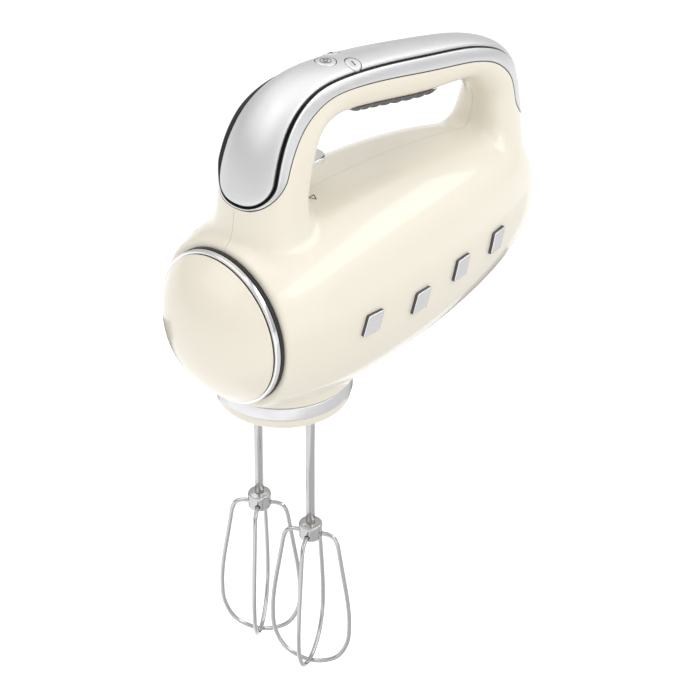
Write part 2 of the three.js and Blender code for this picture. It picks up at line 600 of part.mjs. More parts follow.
// ---------------------------------------------------------------- ejector
const tongueTop = EJECT.tongueZ + EJECT.tongueT;
const tongueRoundY = EJECT.tipY - EJECT.halfWidth;
const tongue = join(
  box(-EJECT.halfWidth, EJECT.halfWidth, 0, tongueRoundY, EJECT.tongueZ, tongueTop),
  rodZ(0, tongueRoundY, EJECT.halfWidth, EJECT.tongueZ, tongueTop, 20),
);
place('eject_lever', join(
  tongue,
  box(-4, 4, EJECT.stemY, EJECT.stemY + 4, EJECT.plateZ + EJECT.plate + GAP, EJECT.tongueZ + 1),
), CHROME);
place('eject_plate', join(
  box(-SOCKET_X - 4, SOCKET_X + 4, -5, 5, EJECT.plateZ, EJECT.plateZ + EJECT.plate),
  ...[-SOCKET_X, SOCKET_X].map((x) => rodZ(x, 0, SHAFT_R - 0.1, BEATER_TOP + EJECT_TRAVEL + 1, EJECT.plateZ + 1, 12)),
), NYLON);

class Helix extends THREE.Curve {
  constructor(x, y, z0, radius, pitch, turns) {
    super();
    Object.assign(this, { x, y, z0, radius, pitch, turns });
  }

  getPoint(t, target = new THREE.Vector3()) {
    const a = 2 * Math.PI * this.turns * t;
    return target.set(
      this.x + this.radius * Math.cos(a),
      this.y + this.radius * Math.sin(a),
      this.z0 + this.pitch * this.turns * t,
    );
  }
}
const roundSection = (r, sides) => new THREE.Shape(
  steps(0, 2 * Math.PI, sides).slice(0, -1).map((a) => new THREE.Vector2(r * Math.cos(a), r * Math.sin(a))));
const wireAlong = (curve, r, sides, count) => solid(new THREE.ExtrudeGeometry(roundSection(r, sides), {
  steps: count, bevelEnabled: false, extrudePath: curve,
}));
const springFoot = CHASSIS.bridge + CHASSIS.plate + 0.7;
place('eject_spring', wireAlong(new Helix(0, 0, springFoot, 4, (EJECT.plateZ - springFoot - 0.7) / 4, 4), 0.4, 4, 40), STEEL);

// ---------------------------------------------------------------- electrics and cord inlet
place('control_board', join(
  box(-8, 8, 26, 50, 160, 161.6),
  box(-5, 5, 30, 36, 161, 163.5),
), BOARD);
place('power_board', join(
  box(-18, 18, 60, 110, 92, 93.6),
  box(-15, -4, 66, 80, 88, 93),
  box(4, 14, 68, 90, 88.5, 93),
  box(-12, 8, 96, 106, 86, 93),
), BOARD);
place('cord_inlet', turnedY([[GLAND.bore, 152], [GLAND.neck, 152], [GLAND.neck, GLAND.face],
  [GLAND.flange, GLAND.face], [GLAND.flange - 0.8, GLAND.face + 2], [GLAND.bore, GLAND.face + 2], [GLAND.bore, 152]],
0, GLAND.z, 16), BLACK);

// ---------------------------------------------------------------- beaters
for (const [side, sign, turn] of [['left', -1, 36], ['right', 1, 27]]) {
  const x = sign * SOCKET_X;
  const hubBottom = HUB.top - HUB.height;
  const holes = [0, 90].map((extra) => rodX(0, HUB.hole, WIRE_R + GAP, -10, 10, 8)
    .rotate(0, 0, turn + extra).translate(x, 0, 0));
  const core = rodZ(x, 0, HUB.radius - 2.4, hubBottom - 1, HUB.top + 1, 16);
  const cross = join(...holes).subtract(core);
  place(`beater_shaft_${side}`, turnedZ([[0, HUB.top + GAP], [SHAFT_R, HUB.top + GAP], [SHAFT_R, BEATER_TOP - 1],
    [SHAFT_R - 0.7, BEATER_TOP], [0, BEATER_TOP]], x, 0, 12), STEEL);
  place(`beater_hub_${side}`, cut(turnedZ([[0, hubBottom], [HUB.radius - 0.5, hubBottom], [HUB.radius, hubBottom + 0.5],
    [HUB.radius, HUB.top - 0.5], [HUB.radius - 0.5, HUB.top], [0, HUB.top]], x, 0, 16), cross), STEEL);
  for (const [letter, extra, raised] of [['a', 0, 0], ['b', 90, LOOP_STEP]]) {
    const half = WIRE_LOOP.map(([r, z], k) => [r, k < WIRE_LOOP.length - 3 ? z : z + raised]);
    const path = [...half, [0, WIRE_LOOP_LOW + raised], ...half.toReversed().map(([r, z]) => [-r, z])];
    const curve = new THREE.CatmullRomCurve3(path.map(([r, z]) => (
      new THREE.Vector3(r, 0, z).applyAxisAngle(new THREE.Vector3(0, 0, 1), rad(turn + extra)).add(new THREE.Vector3(x, 0, 0)))));
    place(`beater_wire_${letter}_${side}`, wireAlong(curve, WIRE_R, 5, 34), STEEL);
  }
}

export default group;
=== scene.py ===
"""Looks for the retro hand mixer: shaped shell, grip, trim, beaters, materials, lights and camera."""

import json
import math

import bmesh
import bpy
import numpy as np
import openvdb
from mathutils import Matrix, Vector


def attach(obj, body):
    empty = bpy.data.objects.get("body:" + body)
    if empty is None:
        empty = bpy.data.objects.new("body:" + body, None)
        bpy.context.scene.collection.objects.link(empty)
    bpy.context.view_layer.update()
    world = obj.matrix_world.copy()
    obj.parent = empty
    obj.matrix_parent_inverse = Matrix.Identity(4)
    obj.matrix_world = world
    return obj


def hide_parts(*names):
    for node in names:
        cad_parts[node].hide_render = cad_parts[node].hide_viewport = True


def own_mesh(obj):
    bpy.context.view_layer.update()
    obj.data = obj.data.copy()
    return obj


MM = 0.001
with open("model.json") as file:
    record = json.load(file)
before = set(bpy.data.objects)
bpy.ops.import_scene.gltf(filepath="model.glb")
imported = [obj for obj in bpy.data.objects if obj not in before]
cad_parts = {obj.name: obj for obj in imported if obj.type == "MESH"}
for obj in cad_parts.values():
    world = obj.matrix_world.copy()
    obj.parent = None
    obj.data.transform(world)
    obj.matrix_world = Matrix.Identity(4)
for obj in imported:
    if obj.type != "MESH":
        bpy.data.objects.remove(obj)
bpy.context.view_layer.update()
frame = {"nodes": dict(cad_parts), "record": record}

# ---------------- shape constants, millimetres
SOCKET_X = 19.0
NECK_RADIUS = 34.7
BODY_FRONT = -38.0
BODY_WIDEST = 25.0
BODY_RADIUS = 51.3
NOSE_LENGTH = 112.0
TAIL_LENGTH = 147.0
TAIL_POWER = (1.85, 0.36)
SQUARENESS = 2.3
AXIS_HEIGHT = 57.2
AXIS_RISE = 0.03

# outer crest (y, z), inner face (y, z), half width, cover edge and bezel edge in degrees from the crest
HANDLE = np.array([
    [-33, 66, 20, 66, 27, 50, 66],
    [-34, 90, 12, 88, 26, 50, 66],
    [-33, 104, 6.4, 104, 24.5, 50, 66],
    [-31, 120, 5.4, 119, 23, 50, 66],
    [-27.5, 136, 8.2, 131, 22.2, 50, 67],
    [-21.5, 151, 12, 140.5, 21, 49, 69],
    [-11, 164, 17, 146.6, 19, 48, 72],
    [4, 172, 25, 149, 17, 47, 74],
    [24, 174.5, 36, 148.4, 15.5, 47, 75],
    [57, 170.8, 58, 144.4, 14.8, 45, 76],
    [92, 164, 88, 138.4, 14, 44, 78],
    [120, 157.5, 112, 135.8, 13.5, 42, 79],
    [138, 151.5, 124, 134, 13.5, 41, 79],
    [150, 145.5, 131, 130, 13.5, 40, 78],
    [158.5, 138, 136, 124, 13.8, 40, 76],
    [163.5, 129, 138.5, 118.5, 14.2, 40, 75],
    [165.5, 118, 138, 111, 15.5, 40, 74],
    [166.5, 104, 135.5, 102, 18, 40, 72],
    [167, 90, 130, 92, 21, 40, 72],
    [167.5, 70, 116, 72, 24, 40, 72],
])
FIRST = -1  # station number of the first row
LAST = FIRST + len(HANDLE) - 1
WIDEST_AT = -0.12
COVER_SPAN = (2.07, 3.0, 15.2, 16.1)
BEZEL_SPAN = (1.98, 3.2, 15.0, 16.25)
COVER_COLUMN, BEZEL_COLUMN = 5, 6
BUTTONS = {
    "power_button": (7.22, 0.0, 5.2),
    "speed_down_button": (7.55, 27.0, 4.3),
    "speed_up_button": (7.55, -27.0, 4.3),
}


# ---------------- small helpers
def smoothstep(t):
    t = np.clip(t, 0, 1)
    return t * t * (3 - 2 * t)


def linked(name, data):
    """New object for the data, in the scene."""
    obj = bpy.data.objects.new(name, data)
    bpy.context.scene.collection.objects.link(obj)
    return obj


def clean_mesh(name, points, faces, tidy_edges=False):
    """Mesh from points in mm, joined where points meet, its faces turned outwards."""
    mesh = bpy.data.meshes.new(name)
    mesh.from_pydata((np.asarray(points, float) * MM).tolist(), [], [list(map(int, f)) for f in faces])
    bm = bmesh.new()
    bm.from_mesh(mesh)
    bmesh.ops.remove_doubles(bm, verts=bm.verts, dist=2e-6)
    if tidy_edges:
        bmesh.ops.dissolve_degenerate(bm, edges=bm.edges, dist=1e-7)
    bmesh.ops.recalc_face_normals(bm, faces=bm.faces)
    bm.to_mesh(mesh)
    bm.free()
    return mesh


def end_caps(rings, count):
    """Two end faces for a stack of rings of count points each."""
    last = (rings - 1) * count
    return [tuple(range(count - 1, -1, -1)), tuple(range(last, last + count))]


# ---------------- handle geometry
def natural_spline(rows):
    """Second derivatives of the natural cubic spline through rows at unit steps."""
    n = len(rows)
    matrix = np.eye(n)
    right = np.zeros_like(rows, dtype=float)
    for k in range(1, n - 1):
        matrix[k, k - 1:k + 2] = (1, 4, 1)
        right[k] = 6 * (rows[k + 1] - 2 * rows[k] + rows[k - 1])
    return np.linalg.solve(matrix, right)


HANDLE_BEND = natural_spline(HANDLE)


def station(u):
    """All columns of HANDLE at station u, which may be an array."""
    s = np.clip(np.asarray(u, float) - FIRST, 0, len(HANDLE) - 1)
    k = np.minimum(s.astype(int), len(HANDLE) - 2)
    b = (s - k)[..., None]
    a = 1 - b
    curve = (a ** 3 - a) * HANDLE_BEND[k] / 6 + (b ** 3 - b) * HANDLE_BEND[k + 1] / 6
    return a * HANDLE[k] + b * HANDLE[k + 1] + curve


def section_frame(u):
    """Middle (y, z), unit vector from inner to outer face, half height and half width at station u."""
    c = station(u)
    outer, inner = c[..., 0:2], c[..., 2:4]
    half = (outer - inner) / 2
    height = np.linalg.norm(half, axis=-1)
    return (outer + inner) / 2, half / height[..., None], height, c[..., 4]


def signed_power(value, power):
    return np.sign(value) * np.abs(value) ** power


def section_point(phi, height, width):
    c, s = np.cos(phi), np.sin(phi)
    reach = np.where(c > 0, 1 - WIDEST_AT, 1 + WIDEST_AT)
    x = width * signed_power(s, 2 / SQUARENESS)
    v = height * (WIDEST_AT + reach * signed_power(c, 2 / SQUARENESS))
    return x, v


def skin(u, phi, depth=0.0):
    """Points (mm) of the handle's skin at station u and angle phi from the crest, moved inwards by depth."""
    u, phi, depth = np.broadcast_arrays(*(np.asarray(value, float) for value in (u, phi, depth)))
    middle, up, height, width = section_frame(u)
    x, v = section_point(phi, height, width)
    x0, v0 = section_point(phi - 0.04, height, width)
    x1, v1 = section_point(phi + 0.04, height, width)
    tx, tv = x1 - x0, v1 - v0
    length = np.hypot(tx, tv)
    x = x + tv / length * depth
    v = v - tx / length * depth
    yz = middle + up * v[..., None]
    return np.stack([x, yz[..., 0], yz[..., 1]], axis=-1)


def edge_angle(u, span, column):
    start, start_full, end_full, end = span
    full = np.radians(station(u)[..., column])
    t = np.where(u < start_full, (start_full - u) / (start_full - start), 0)
    t = np.where(u > end_full, (u - end_full) / (end - end_full), t)
    return full * np.sqrt(np.clip(1 - t * t, 0, 1))


def outline(span, column, count=420):
    """Closed outline (u, phi) of a strip of the skin: along +phi from start to end, then back along -phi."""
    tau = np.linspace(0, math.pi, count)
    u = span[0] + (span[3] - span[0]) * (1 - np.cos(tau)) / 2
    phi = edge_angle(u, span, column)
    return np.concatenate([np.stack([u, phi], 1), np.stack([u, -phi], 1)[-2:0:-1]])


def grown(loop, distance):
    """The outline moved outwards over the skin by a distance in mm."""
    u, phi = loop[:, 0], loop[:, 1]
    d = 0.01
    per_u = np.linalg.norm(skin(u + d, phi) - skin(u - d, phi), axis=1) / (2 * d)
    per_phi = np.linalg.norm(skin(u, phi + d) - skin(u, phi - d), axis=1) / (2 * d)
    tu = (np.roll(u, -1) - np.roll(u, 1)) * per_u
    tp = (np.roll(phi, -1) - np.roll(phi, 1)) * per_phi
    length = np.hypot(tu, tp)
    return np.stack([u - tp / length * distance / per_u, phi + tu / length * distance / per_phi], 1)


# ---------------- mesh helpers
def make_object(name, points, faces, material, body, slot):
    """Mesh object from points in mm, which rides on the body."""
    mesh = clean_mesh(name, points, faces, True)
    mesh.polygons.foreach_set("use_smooth", np.full(len(mesh.polygons), True))
    obj = linked(name, mesh)
    mesh.materials.append(material)
    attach(obj, body)
    return obj


def soften(obj, degrees=35):
    """Smooth shading with sharp edges where the surface turns by more than the angle."""
    mesh = obj.data
    bm = bmesh.new()
    bm.from_mesh(mesh)
    limit = math.radians(degrees)
    for edge in bm.edges:
        edge.smooth = len(edge.link_faces) == 2 and edge.calc_face_angle(0) < limit
    bm.to_mesh(mesh)
    bm.free()


def ring_faces(rings, count, closed_along=False):
    """Quads between consecutive rings of count points."""
    faces = []
    for k in range(rings if closed_along else rings - 1):
        a = k * count
        b = (k + 1) % rings * count
        for j in range(count):
            n = (j + 1) % count
            faces.append((a + j, a + n, b + n, b + j))
    return faces


def turned(profile, centre=(0, 0, 0), axis="Z", sides=128, closed=True):
    """Turned solid from (radius, height) points; a closed profile is a tube, an open one ends on the axis."""
    profile = np.asarray(profile, float)
    a = np.linspace(0, 2 * math.pi, sides, endpoint=False)
    r, h = profile[:, 0:1], profile[:, 1:2]
    along, cos, sin = np.broadcast_to(h, (len(profile), sides)), r * np.cos(a), r * np.sin(a)
    stack = (cos, sin, along) if axis == "Z" else (cos, along, sin)
    points = np.stack(stack, -1).reshape(-1, 3) + np.asarray(centre, float)
    return points, ring_faces(len(profile), sides, closed)


def lathe(name, profile, material, body, slot, centre=(0, 0, 0), axis="Z", sides=128, closed=True):
    return make_object(name, *turned(profile, centre, axis, sides, closed), material, body, slot)


def rounded(corners, radius, steps=5, closed=True):
    """Polygon with each corner replaced by an arc of the radius (or a list of radii)."""
    corners = [np.asarray(c, float) for c in corners]
    n = len(corners)
    radii = radius if isinstance(radius, (list, tuple)) else [radius] * n
    out = []
    for k, (corner, r) in enumerate(zip(corners, radii)):
        if not closed and k in (0, n - 1) or r == 0:
            out.append(corner)
            continue
        back = corners[k - 1] - corner
        ahead = corners[(k + 1) % n] - corner
        back_length, ahead_length = np.linalg.norm(back), np.linalg.norm(ahead)
        back, ahead = back / back_length, ahead / ahead_length
        reach = min(r, 0.49 * back_length, 0.49 * ahead_length)
        start, end = corner + back * reach, corner + ahead * reach
        for t in np.linspace(0, 1, steps + 1):
            out.append((1 - t) ** 2 * start + 2 * t * (1 - t) * corner + t * t * end)
    return out


def smooth_path(points, count):
    """Centripetal curve through the points, evenly resampled."""
    points = np.asarray(points, float)
    first, last = 2 * points[0] - points[1], 2 * points[-1] - points[-2]
    p = np.vstack([first, points, last])
    gaps = np.sqrt(np.linalg.norm(np.diff(p, axis=0), axis=1))
    t = np.concatenate([[0], np.cumsum(gaps)])
    out = []
    for k in range(1, len(p) - 2):
        for s in np.linspace(t[k], t[k + 1], 16, endpoint=False):
            def mix(a, b, ta, tb):
                return a * (tb - s) / (tb - ta) + b * (s - ta) / (tb - ta)
            a1 = mix(p[k - 1], p[k], t[k - 1], t[k])
            a2 = mix(p[k], p[k + 1], t[k], t[k + 1])
            a3 = mix(p[k + 1], p[k + 2], t[k + 1], t[k + 2])
            b1 = mix(a1, a2, t[k - 1], t[k + 1])
            b2 = mix(a2, a3, t[k], t[k + 2])
            out.append(mix(b1, b2, t[k], t[k + 1]))
    out.append(points[-1])
    out = np.array(out)
    run = np.concatenate([[0], np.cumsum(np.linalg.norm(np.diff(out, axis=0), axis=1))])
    even = np.linspace(0, run[-1], count)
    return np.stack([np.interp(even, run, out[:, j]) for j in range(3)], 1)


def tube_mesh(path, radius, sides=14, closed=False):
    """Points and faces of a round tube along a path, with a frame that doesn't twist."""
    path = np.asarray(path, float)
    n = len(path)
    if closed:
        tangent = np.roll(path, -1, 0) - np.roll(path, 1, 0)
    else:
        tangent = np.gradient(path, axis=0)
    tangent /= np.linalg.norm(tangent, axis=1)[:, None]
    side = np.cross(tangent[0], (0.3, 0.5, 0.81))
    points = []
    radius = np.broadcast_to(radius, n)
    a = np.linspace(0, 2 * math.pi, sides, endpoint=False)[:, None]
    for k in range(n):
        side = side - tangent[k] * np.dot(side, tangent[k])
        side /= np.linalg.norm(side)
        other = np.cross(tangent[k], side)
        points.append(path[k] + radius[k] * (np.cos(a) * side + np.sin(a) * other))
    faces = ring_faces(n, sides, closed)
    if not closed:
        faces += end_caps(n, sides)
    return np.concatenate(points), faces


def joined(parts):
    """Several (points, faces) as one."""
    points, faces, base = [], [], 0
    for p, f in parts:
        points.append(p)
        faces += [tuple(i + base for i in face) for face in f]
        base += len(p)
    return np.concatenate(points), faces


def subtract(obj, cutters):
    """Cuts closed (points, faces) solids from a closed object."""
    cutter = linked("cutter", clean_mesh("cutter", *joined(cutters)))
    modifier = obj.modifiers.new("cut", "BOOLEAN")
    modifier.operation = "DIFFERENCE"
    modifier.solver = "EXACT"
    modifier.object = cutter
    bpy.context.view_layer.update()
    evaluated = obj.evaluated_get(bpy.context.evaluated_depsgraph_get())
    result = bpy.data.meshes.new_from_object(evaluated)
    obj.modifiers.clear()
    old = obj.data
    obj.data = result
    bpy.data.meshes.remove(old)
    bpy.data.objects.remove(cutter)


def prism(loop, low, high):
    """Closed upright solid over a flat (x, y) loop, as points and faces."""
    n = len(loop)
    points = [(x, y, z) for z in (low, high) for x, y in loop]
    return np.array(points), ring_faces(2, n) + end_caps(2, n)


def rod(start, end, radius, sides=64):
    """Closed cylinder between two points, as points and faces."""
    start, end = np.asarray(start, float), np.asarray(end, float)
    return tube_mesh(np.linspace(start, end, 2), radius, sides)


# ---------------- shell: body, handle and neck melted together
SHELL_X = 56.0
SHELL_Y = (-46.0, 180.0)
SHELL_Z = (-2.0, 182.0)
CELL = 1.25
FOOT_BLEND = 11
NECK_BLEND = 6.0
WALL = 2.2
SEAM = 0.08
GUESS_STEP = 2.0


def handle_guess_table():
    """Coarse grid over (y, z) with the nearest section's station, and whether a section passes there."""
    ys = np.arange(SHELL_Y[0] - 10, SHELL_Y[1] + 10, GUESS_STEP)
    zs = np.arange(SHELL_Z[0] - 10, SHELL_Z[1] + 10, GUESS_STEP)
    grid = np.stack(np.meshgrid(ys, zs, indexing="ij"), -1)
    us = np.linspace(FIRST, LAST, 420)
    middle, up, height, _ = section_frame(us)
    best = np.full(grid.shape[:2], 1e9)
    found = np.full(grid.shape[:2], float(FIRST))
    previous = None
    for k in range(len(us)):
        d = grid - middle[k]
        across = d[..., 0] * up[k, 1] - d[..., 1] * up[k, 0]
        v = np.abs(d[..., 0] * up[k, 0] + d[..., 1] * up[k, 1]) / height[k]
        if previous is not None:
            hit = (across * previous <= 0) & (v < best)
            best[hit] = v[hit]
            found[hit] = us[k]
        previous = across
    missed = best > 1e8
    ends = np.stack([np.linalg.norm(grid - middle[0], axis=-1), np.linalg.norm(grid - middle[-1], axis=-1)])
    found[missed] = np.where(ends[0] < ends[1], us[0], us[-1])[missed]
    return ys, zs, found


GUESS_Y, GUESS_Z, GUESS_U = handle_guess_table()


def handle_section(y, z):
    """Station of the section through (y, z), and the point's height v in that section's frame."""
    i = np.clip(np.round((y - GUESS_Y[0]) / GUESS_STEP).astype(int), 0, len(GUESS_Y) - 1)
    j = np.clip(np.round((z - GUESS_Z[0]) / GUESS_STEP).astype(int), 0, len(GUESS_Z) - 1)
    u = GUESS_U[i, j]

    def across(s):
        middle, up, height, width = section_frame(s)
        dy, dz = y - middle[..., 0], z - middle[..., 1]
        return dy * up[..., 1] - dz * up[..., 0], dy * up[..., 0] + dz * up[..., 1], height, width

    for _ in range(5):
        f, _, _, _ = across(u)
        g, _, _, _ = across(u + 1e-3)
        slope = (g - f) / 1e-3
        slope = np.where(np.abs(slope) < 2, np.sign(slope + 1e-9) * 2, slope)
        u = np.clip(u - np.clip(f / slope, -0.5, 0.5), FIRST, LAST)
    f, v, height, width = across(u)
    return u, v, height, width, f


def handle_field(x, y, z):
    u, v, height, width, off = handle_section(y, z)
    c = v / height - WIDEST_AT
    reach = np.where(c > 0, 1 - WIDEST_AT, 1 + WIDEST_AT) * height
    a = np.abs(x) / width
    b = np.abs(c) * height / reach
    p = SQUARENESS
    g = (a ** p + b ** p + 1e-9) ** (1 / p)
    slope = np.hypot(a ** (p - 1) / width, b ** (p - 1) / reach) * g ** (1 - p)
    d = (g - 1) / np.maximum(slope, 1e-3)
    return np.hypot(np.maximum(d, 0), np.where(np.abs(off) > 0.05, off, 0)) + np.minimum(d, 0)


def body_field(x, y, z):
    h = z - (AXIS_HEIGHT + AXIS_RISE * (y - BODY_FRONT))
    p = SQUARENESS
    g = (np.abs(x) ** p + np.abs(h) ** p + 1e-6) ** (1 / p)
    slope_g = np.hypot(np.abs(x) ** (p - 1), np.abs(h) ** (p - 1)) * g ** (1 - p)
    nose = y < BODY_WIDEST
    a = np.where(nose, 2.0, TAIL_POWER[0])
    b = np.where(nose, 2.0, 1 / TAIL_POWER[1])
    length = np.where(nose, NOSE_LENGTH, TAIL_LENGTH)
    t = np.abs(y - BODY_WIDEST) / length
    inner = t ** a + (g / BODY_RADIUS) ** b
    f = inner ** (1 / b)
    root = inner ** (1 / b - 1) / b
    by_y = root * a * t ** (a - 1) / length
    by_g = root * b * (g / BODY_RADIUS) ** (b - 1) / BODY_RADIUS * slope_g
    return np.clip((f - 1) / np.maximum(np.hypot(by_y, by_g), 2e-3), -45, 90)


def smooth_min(a, b, k):
    h = np.maximum(k - np.abs(a - b), 0) / k
    return np.minimum(a, b) - h ** 3 * k / 6


def shell_field(x, y, z):
    whole = smooth_min(body_field(x, y, z), handle_field(x, y, z), FOOT_BLEND)
    neck = np.maximum(np.hypot(x, y) - NECK_RADIUS, z - 40)
    whole = smooth_min(whole, neck, NECK_BLEND)
    return -smooth_min(-whole, y - BODY_FRONT, 3.0)


def field_normals(p):
    e = 0.02
    x, y, z = p.T
    n = np.stack([
        shell_field(x + e, y, z) - shell_field(x - e, y, z),
        shell_field(x, y + e, z) - shell_field(x, y - e, z),
        shell_field(x, y, z + e) - shell_field(x, y, z - e),
    ], 1) / (2 * e)
    size = np.linalg.norm(n, axis=1)
    return n / np.maximum(size, 1e-6)[:, None], size


def pocket_depth(p):
    """How far the shell lies below the skin under the cover and bezel."""
    u, v, height, width, off = handle_section(p[:, 1], p[:, 2])
    c = v / height - WIDEST_AT
    b = c / np.where(c > 0, 1 - WIDEST_AT, 1 + WIDEST_AT)
    s = np.abs(p[:, 0] / width) ** (SQUARENESS / 2)
    phi = np.arctan2(s, signed_power(b, SQUARENESS / 2))
    inside = (edge_angle(u, BEZEL_SPAN, BEZEL_COLUMN) - phi) * 17.0
    inside = np.where((u > BEZEL_SPAN[0]) & (u < BEZEL_SPAN[3]) & (np.abs(off) < 0.5), inside, -1)
    return 3.4 * smoothstep((inside - 1.0) / 1.8)


def shell_surface():
    """Right half of the outer surface, x > 0, as points and faces."""
    xs = np.arange(-2 * CELL, SHELL_X, CELL)
    ys = np.arange(SHELL_Y[0], SHELL_Y[1], CELL)
    zs = np.arange(SHELL_Z[0], SHELL_Z[1], CELL)
    y, z = np.meshgrid(ys, zs, indexing="ij")
    values = shell_field(xs[:, None, None], y[None], z[None]).astype(np.float32)
    grid = openvdb.FloatGrid(8.0)
    grid.copyFromArray(np.clip(values, -8, 8))
    points, triangles, quads = grid.convertToPolygons(isovalue=0.0, adaptivity=0.0)
    points = points.astype(float) * CELL + np.array([xs[0], ys[0], zs[0]])
    for _ in range(3):
        n, size = field_normals(points)
        move = np.clip(shell_field(*points.T) / np.maximum(size, 0.4), -0.3, 0.3)
        points = points - n * move[:, None]
    return points, [tuple(f) for f in triangles] + [tuple(f) for f in quads]


def trimmed(points, faces):
    """The half surface cut cleanly at the seam and low in the neck."""
    bm = bmesh.new()
    verts = [bm.verts.new(p) for p in points]
    for face in faces:
        try:
            bm.faces.new([verts[i] for i in face])
        except ValueError:
            continue
    for point, normal in (((SEAM, 0, 0), (-1, 0, 0)), ((0, 0, 4), (0, 0, -1))):
        geometry = bm.verts[:] + bm.edges[:] + bm.faces[:]
        bmesh.ops.bisect_plane(bm, geom=geometry, dist=1e-5, plane_co=point, plane_no=normal,
                               clear_outer=True)
    bm.verts.ensure_lookup_table()
    bm.verts.index_update()
    points = np.array([v.co[:] for v in bm.verts])
    faces = [[v.index for v in f.verts] for f in bm.faces]
    borders = [[e.verts[0].index, e.verts[1].index] for e in bm.edges if len(e.link_faces) == 1]
    bm.free()
    return points, faces, borders


def thick_half():
    """Right half shell as a closed solid: outer surface, inner surface and the rims between them."""
    points, faces, borders = trimmed(*shell_surface())
    normals, _ = field_normals(points)
    sunk = points - normals * pocket_depth(points)[:, None]
    inner = sunk - normals * WALL
    inner[:, 0] = np.maximum(inner[:, 0], SEAM)
    at_seam = np.abs(points[:, 0] - SEAM) < 1e-4
    sunk[at_seam, 0] = SEAM
    inner[at_seam, 0] = SEAM
    n = len(points)
    every = [tuple(f) for f in faces] + [tuple(i + n for i in reversed(f)) for f in faces]
    every += [(a, b, b + n, a + n) for a, b in borders]
    return np.concatenate([sunk, inner]), every


# ---------------- materials
def new_material(name):
    material = bpy.data.materials.new(name)
    material.use_nodes = True
    tree = material.node_tree
    shader = tree.nodes["Principled BSDF"]
    return material, tree, shader


def preset(node, values):
    """Sets the node's unlinked inputs by name."""
    for name, value in values.items():
        node.inputs[name].default_value = value


def position_node(tree, scale=(1, 1, 1)):
    """Object position in metres, scaled per axis, so that grain has a real size."""
    where = tree.nodes.new("ShaderNodeTexCoord")
    mapping = tree.nodes.new("ShaderNodeMapping")
    preset(mapping, {"Scale": scale})
    tree.links.new(where.outputs["Object"], mapping.inputs["Vector"])
    return mapping.outputs["Vector"]


def noise_node(tree, vector, scale, detail=3.0, roughness=0.5):
    noise = tree.nodes.new("ShaderNodeTexNoise")
    preset(noise, {"Scale": scale, "Detail": detail, "Roughness": roughness})
    tree.links.new(vector, noise.inputs["Vector"])
    return noise.outputs["Fac"]


def ramp_node(tree, value, stops):
    """Colour ramp through (place, grey or colour) stops."""
    ramp = tree.nodes.new("ShaderNodeValToRGB")
    elements = ramp.color_ramp.elements
    while len(elements) < len(stops):
        elements.new(0.5)
    for element, (place, colour) in zip(elements, stops):
        element.position = place
        grey = isinstance(colour, (int, float))
        element.color = (colour, colour, colour, 1) if grey else (*colour, 1)
    tree.links.new(value, ramp.inputs["Fac"])
    return ramp.outputs["Color"]


def bump_node(tree, shader, height, distance, strength=1.0):
    bump = tree.nodes.new("ShaderNodeBump")
    preset(bump, {"Distance": distance, "Strength": strength})
    tree.links.new(height, bump.inputs["Height"])
    tree.links.new(bump.outputs["Normal"], shader.inputs["Normal"])


def plastic(name, colour, shade, roughness, coat, grain=900, depth=0.000004):
    """Moulded plastic: faint colour drift, fine surface ripple and a glossy skin."""
    material, tree, shader = new_material(name)
    place = position_node(tree)
    drift = noise_node(tree, place, 9, 0)
    tree.links.new(ramp_node(tree, drift, [(0.3, shade), (0.7, colour)]), shader.inputs["Base Color"])
    rub = noise_node(tree, place, 12, 0)
    rough = ramp_node(tree, rub, [(0.2, roughness * 0.9), (0.8, roughness * 1.12)])
    tree.links.new(rough, shader.inputs["Roughness"])
    preset(shader, {"Coat Weight": coat, "Coat Roughness": 0.06, "IOR": 1.5})
    bump_node(tree, shader, noise_node(tree, place, grain, 3), depth, 0.5)
    return material


def metal(name, colour, shade, roughness, grain=(1, 1, 1), grain_scale=500, depth=0.000003, anisotropy=0.0):
    """Metal with smudges in its gloss and a directional grain in its surface."""
    material, tree, shader = new_material(name)
    place = position_node(tree)
    smudge = noise_node(tree, place, 22, 5, 0.6)
    tree.links.new(ramp_node(tree, smudge, [(0.25, shade), (0.7, colour)]), shader.inputs["Base Color"])
    rub = noise_node(tree, position_node(tree, grain), grain_scale * 0.5, 4)
    rough = ramp_node(tree, rub, [(0.3, roughness * 0.75), (0.75, roughness * 1.3)])
    tree.links.new(rough, shader.inputs["Roughness"])
    preset(shader, {"Metallic": 1.0, "Anisotropic": anisotropy})
    bump_node(tree, shader, noise_node(tree, position_node(tree, grain), grain_scale, 3), depth, 0.4)
    return material


def rubber(name, colour, shade):
    """Matt rubber: moulded pores, dust in the low spots and a soft sheen."""
    material, tree, shader = new_material(name)
    place = position_node(tree)
    cloud = noise_node(tree, place, 90, 4)
    tree.links.new(ramp_node(tree, cloud, [(0.3, shade), (0.7, colour)]), shader.inputs["Base Color"])
    tree.links.new(ramp_node(tree, cloud, [(0.3, 0.62), (0.75, 0.8)]), shader.inputs["Roughness"])
    preset(shader, {"Sheen Weight": 0.15})
    bump_node(tree, shader, noise_node(tree, place, 2600, 3), 0.00003, 0.5)
    return material


def board_material():
    """Circuit board: solder mask with a pattern of copper tracks."""
    material, tree, shader = new_material("circuit_board")
    tracks = tree.nodes.new("ShaderNodeTexBrick")
    preset(tracks, {"Scale": 160, "Mortar Size": 0.02, "Mortar": (0.3, 0.28, 0.12, 1),
                    "Color1": (0.02, 0.16, 0.08, 1), "Color2": (0.03, 0.2, 0.1, 1)})
    tree.links.new(position_node(tree), tracks.inputs["Vector"])
    tree.links.new(tracks.outputs["Color"], shader.inputs["Base Color"])
    preset(shader, {"Roughness": 0.4})
    bump_node(tree, shader, tracks.outputs["Fac"], 0.00003)
    return material


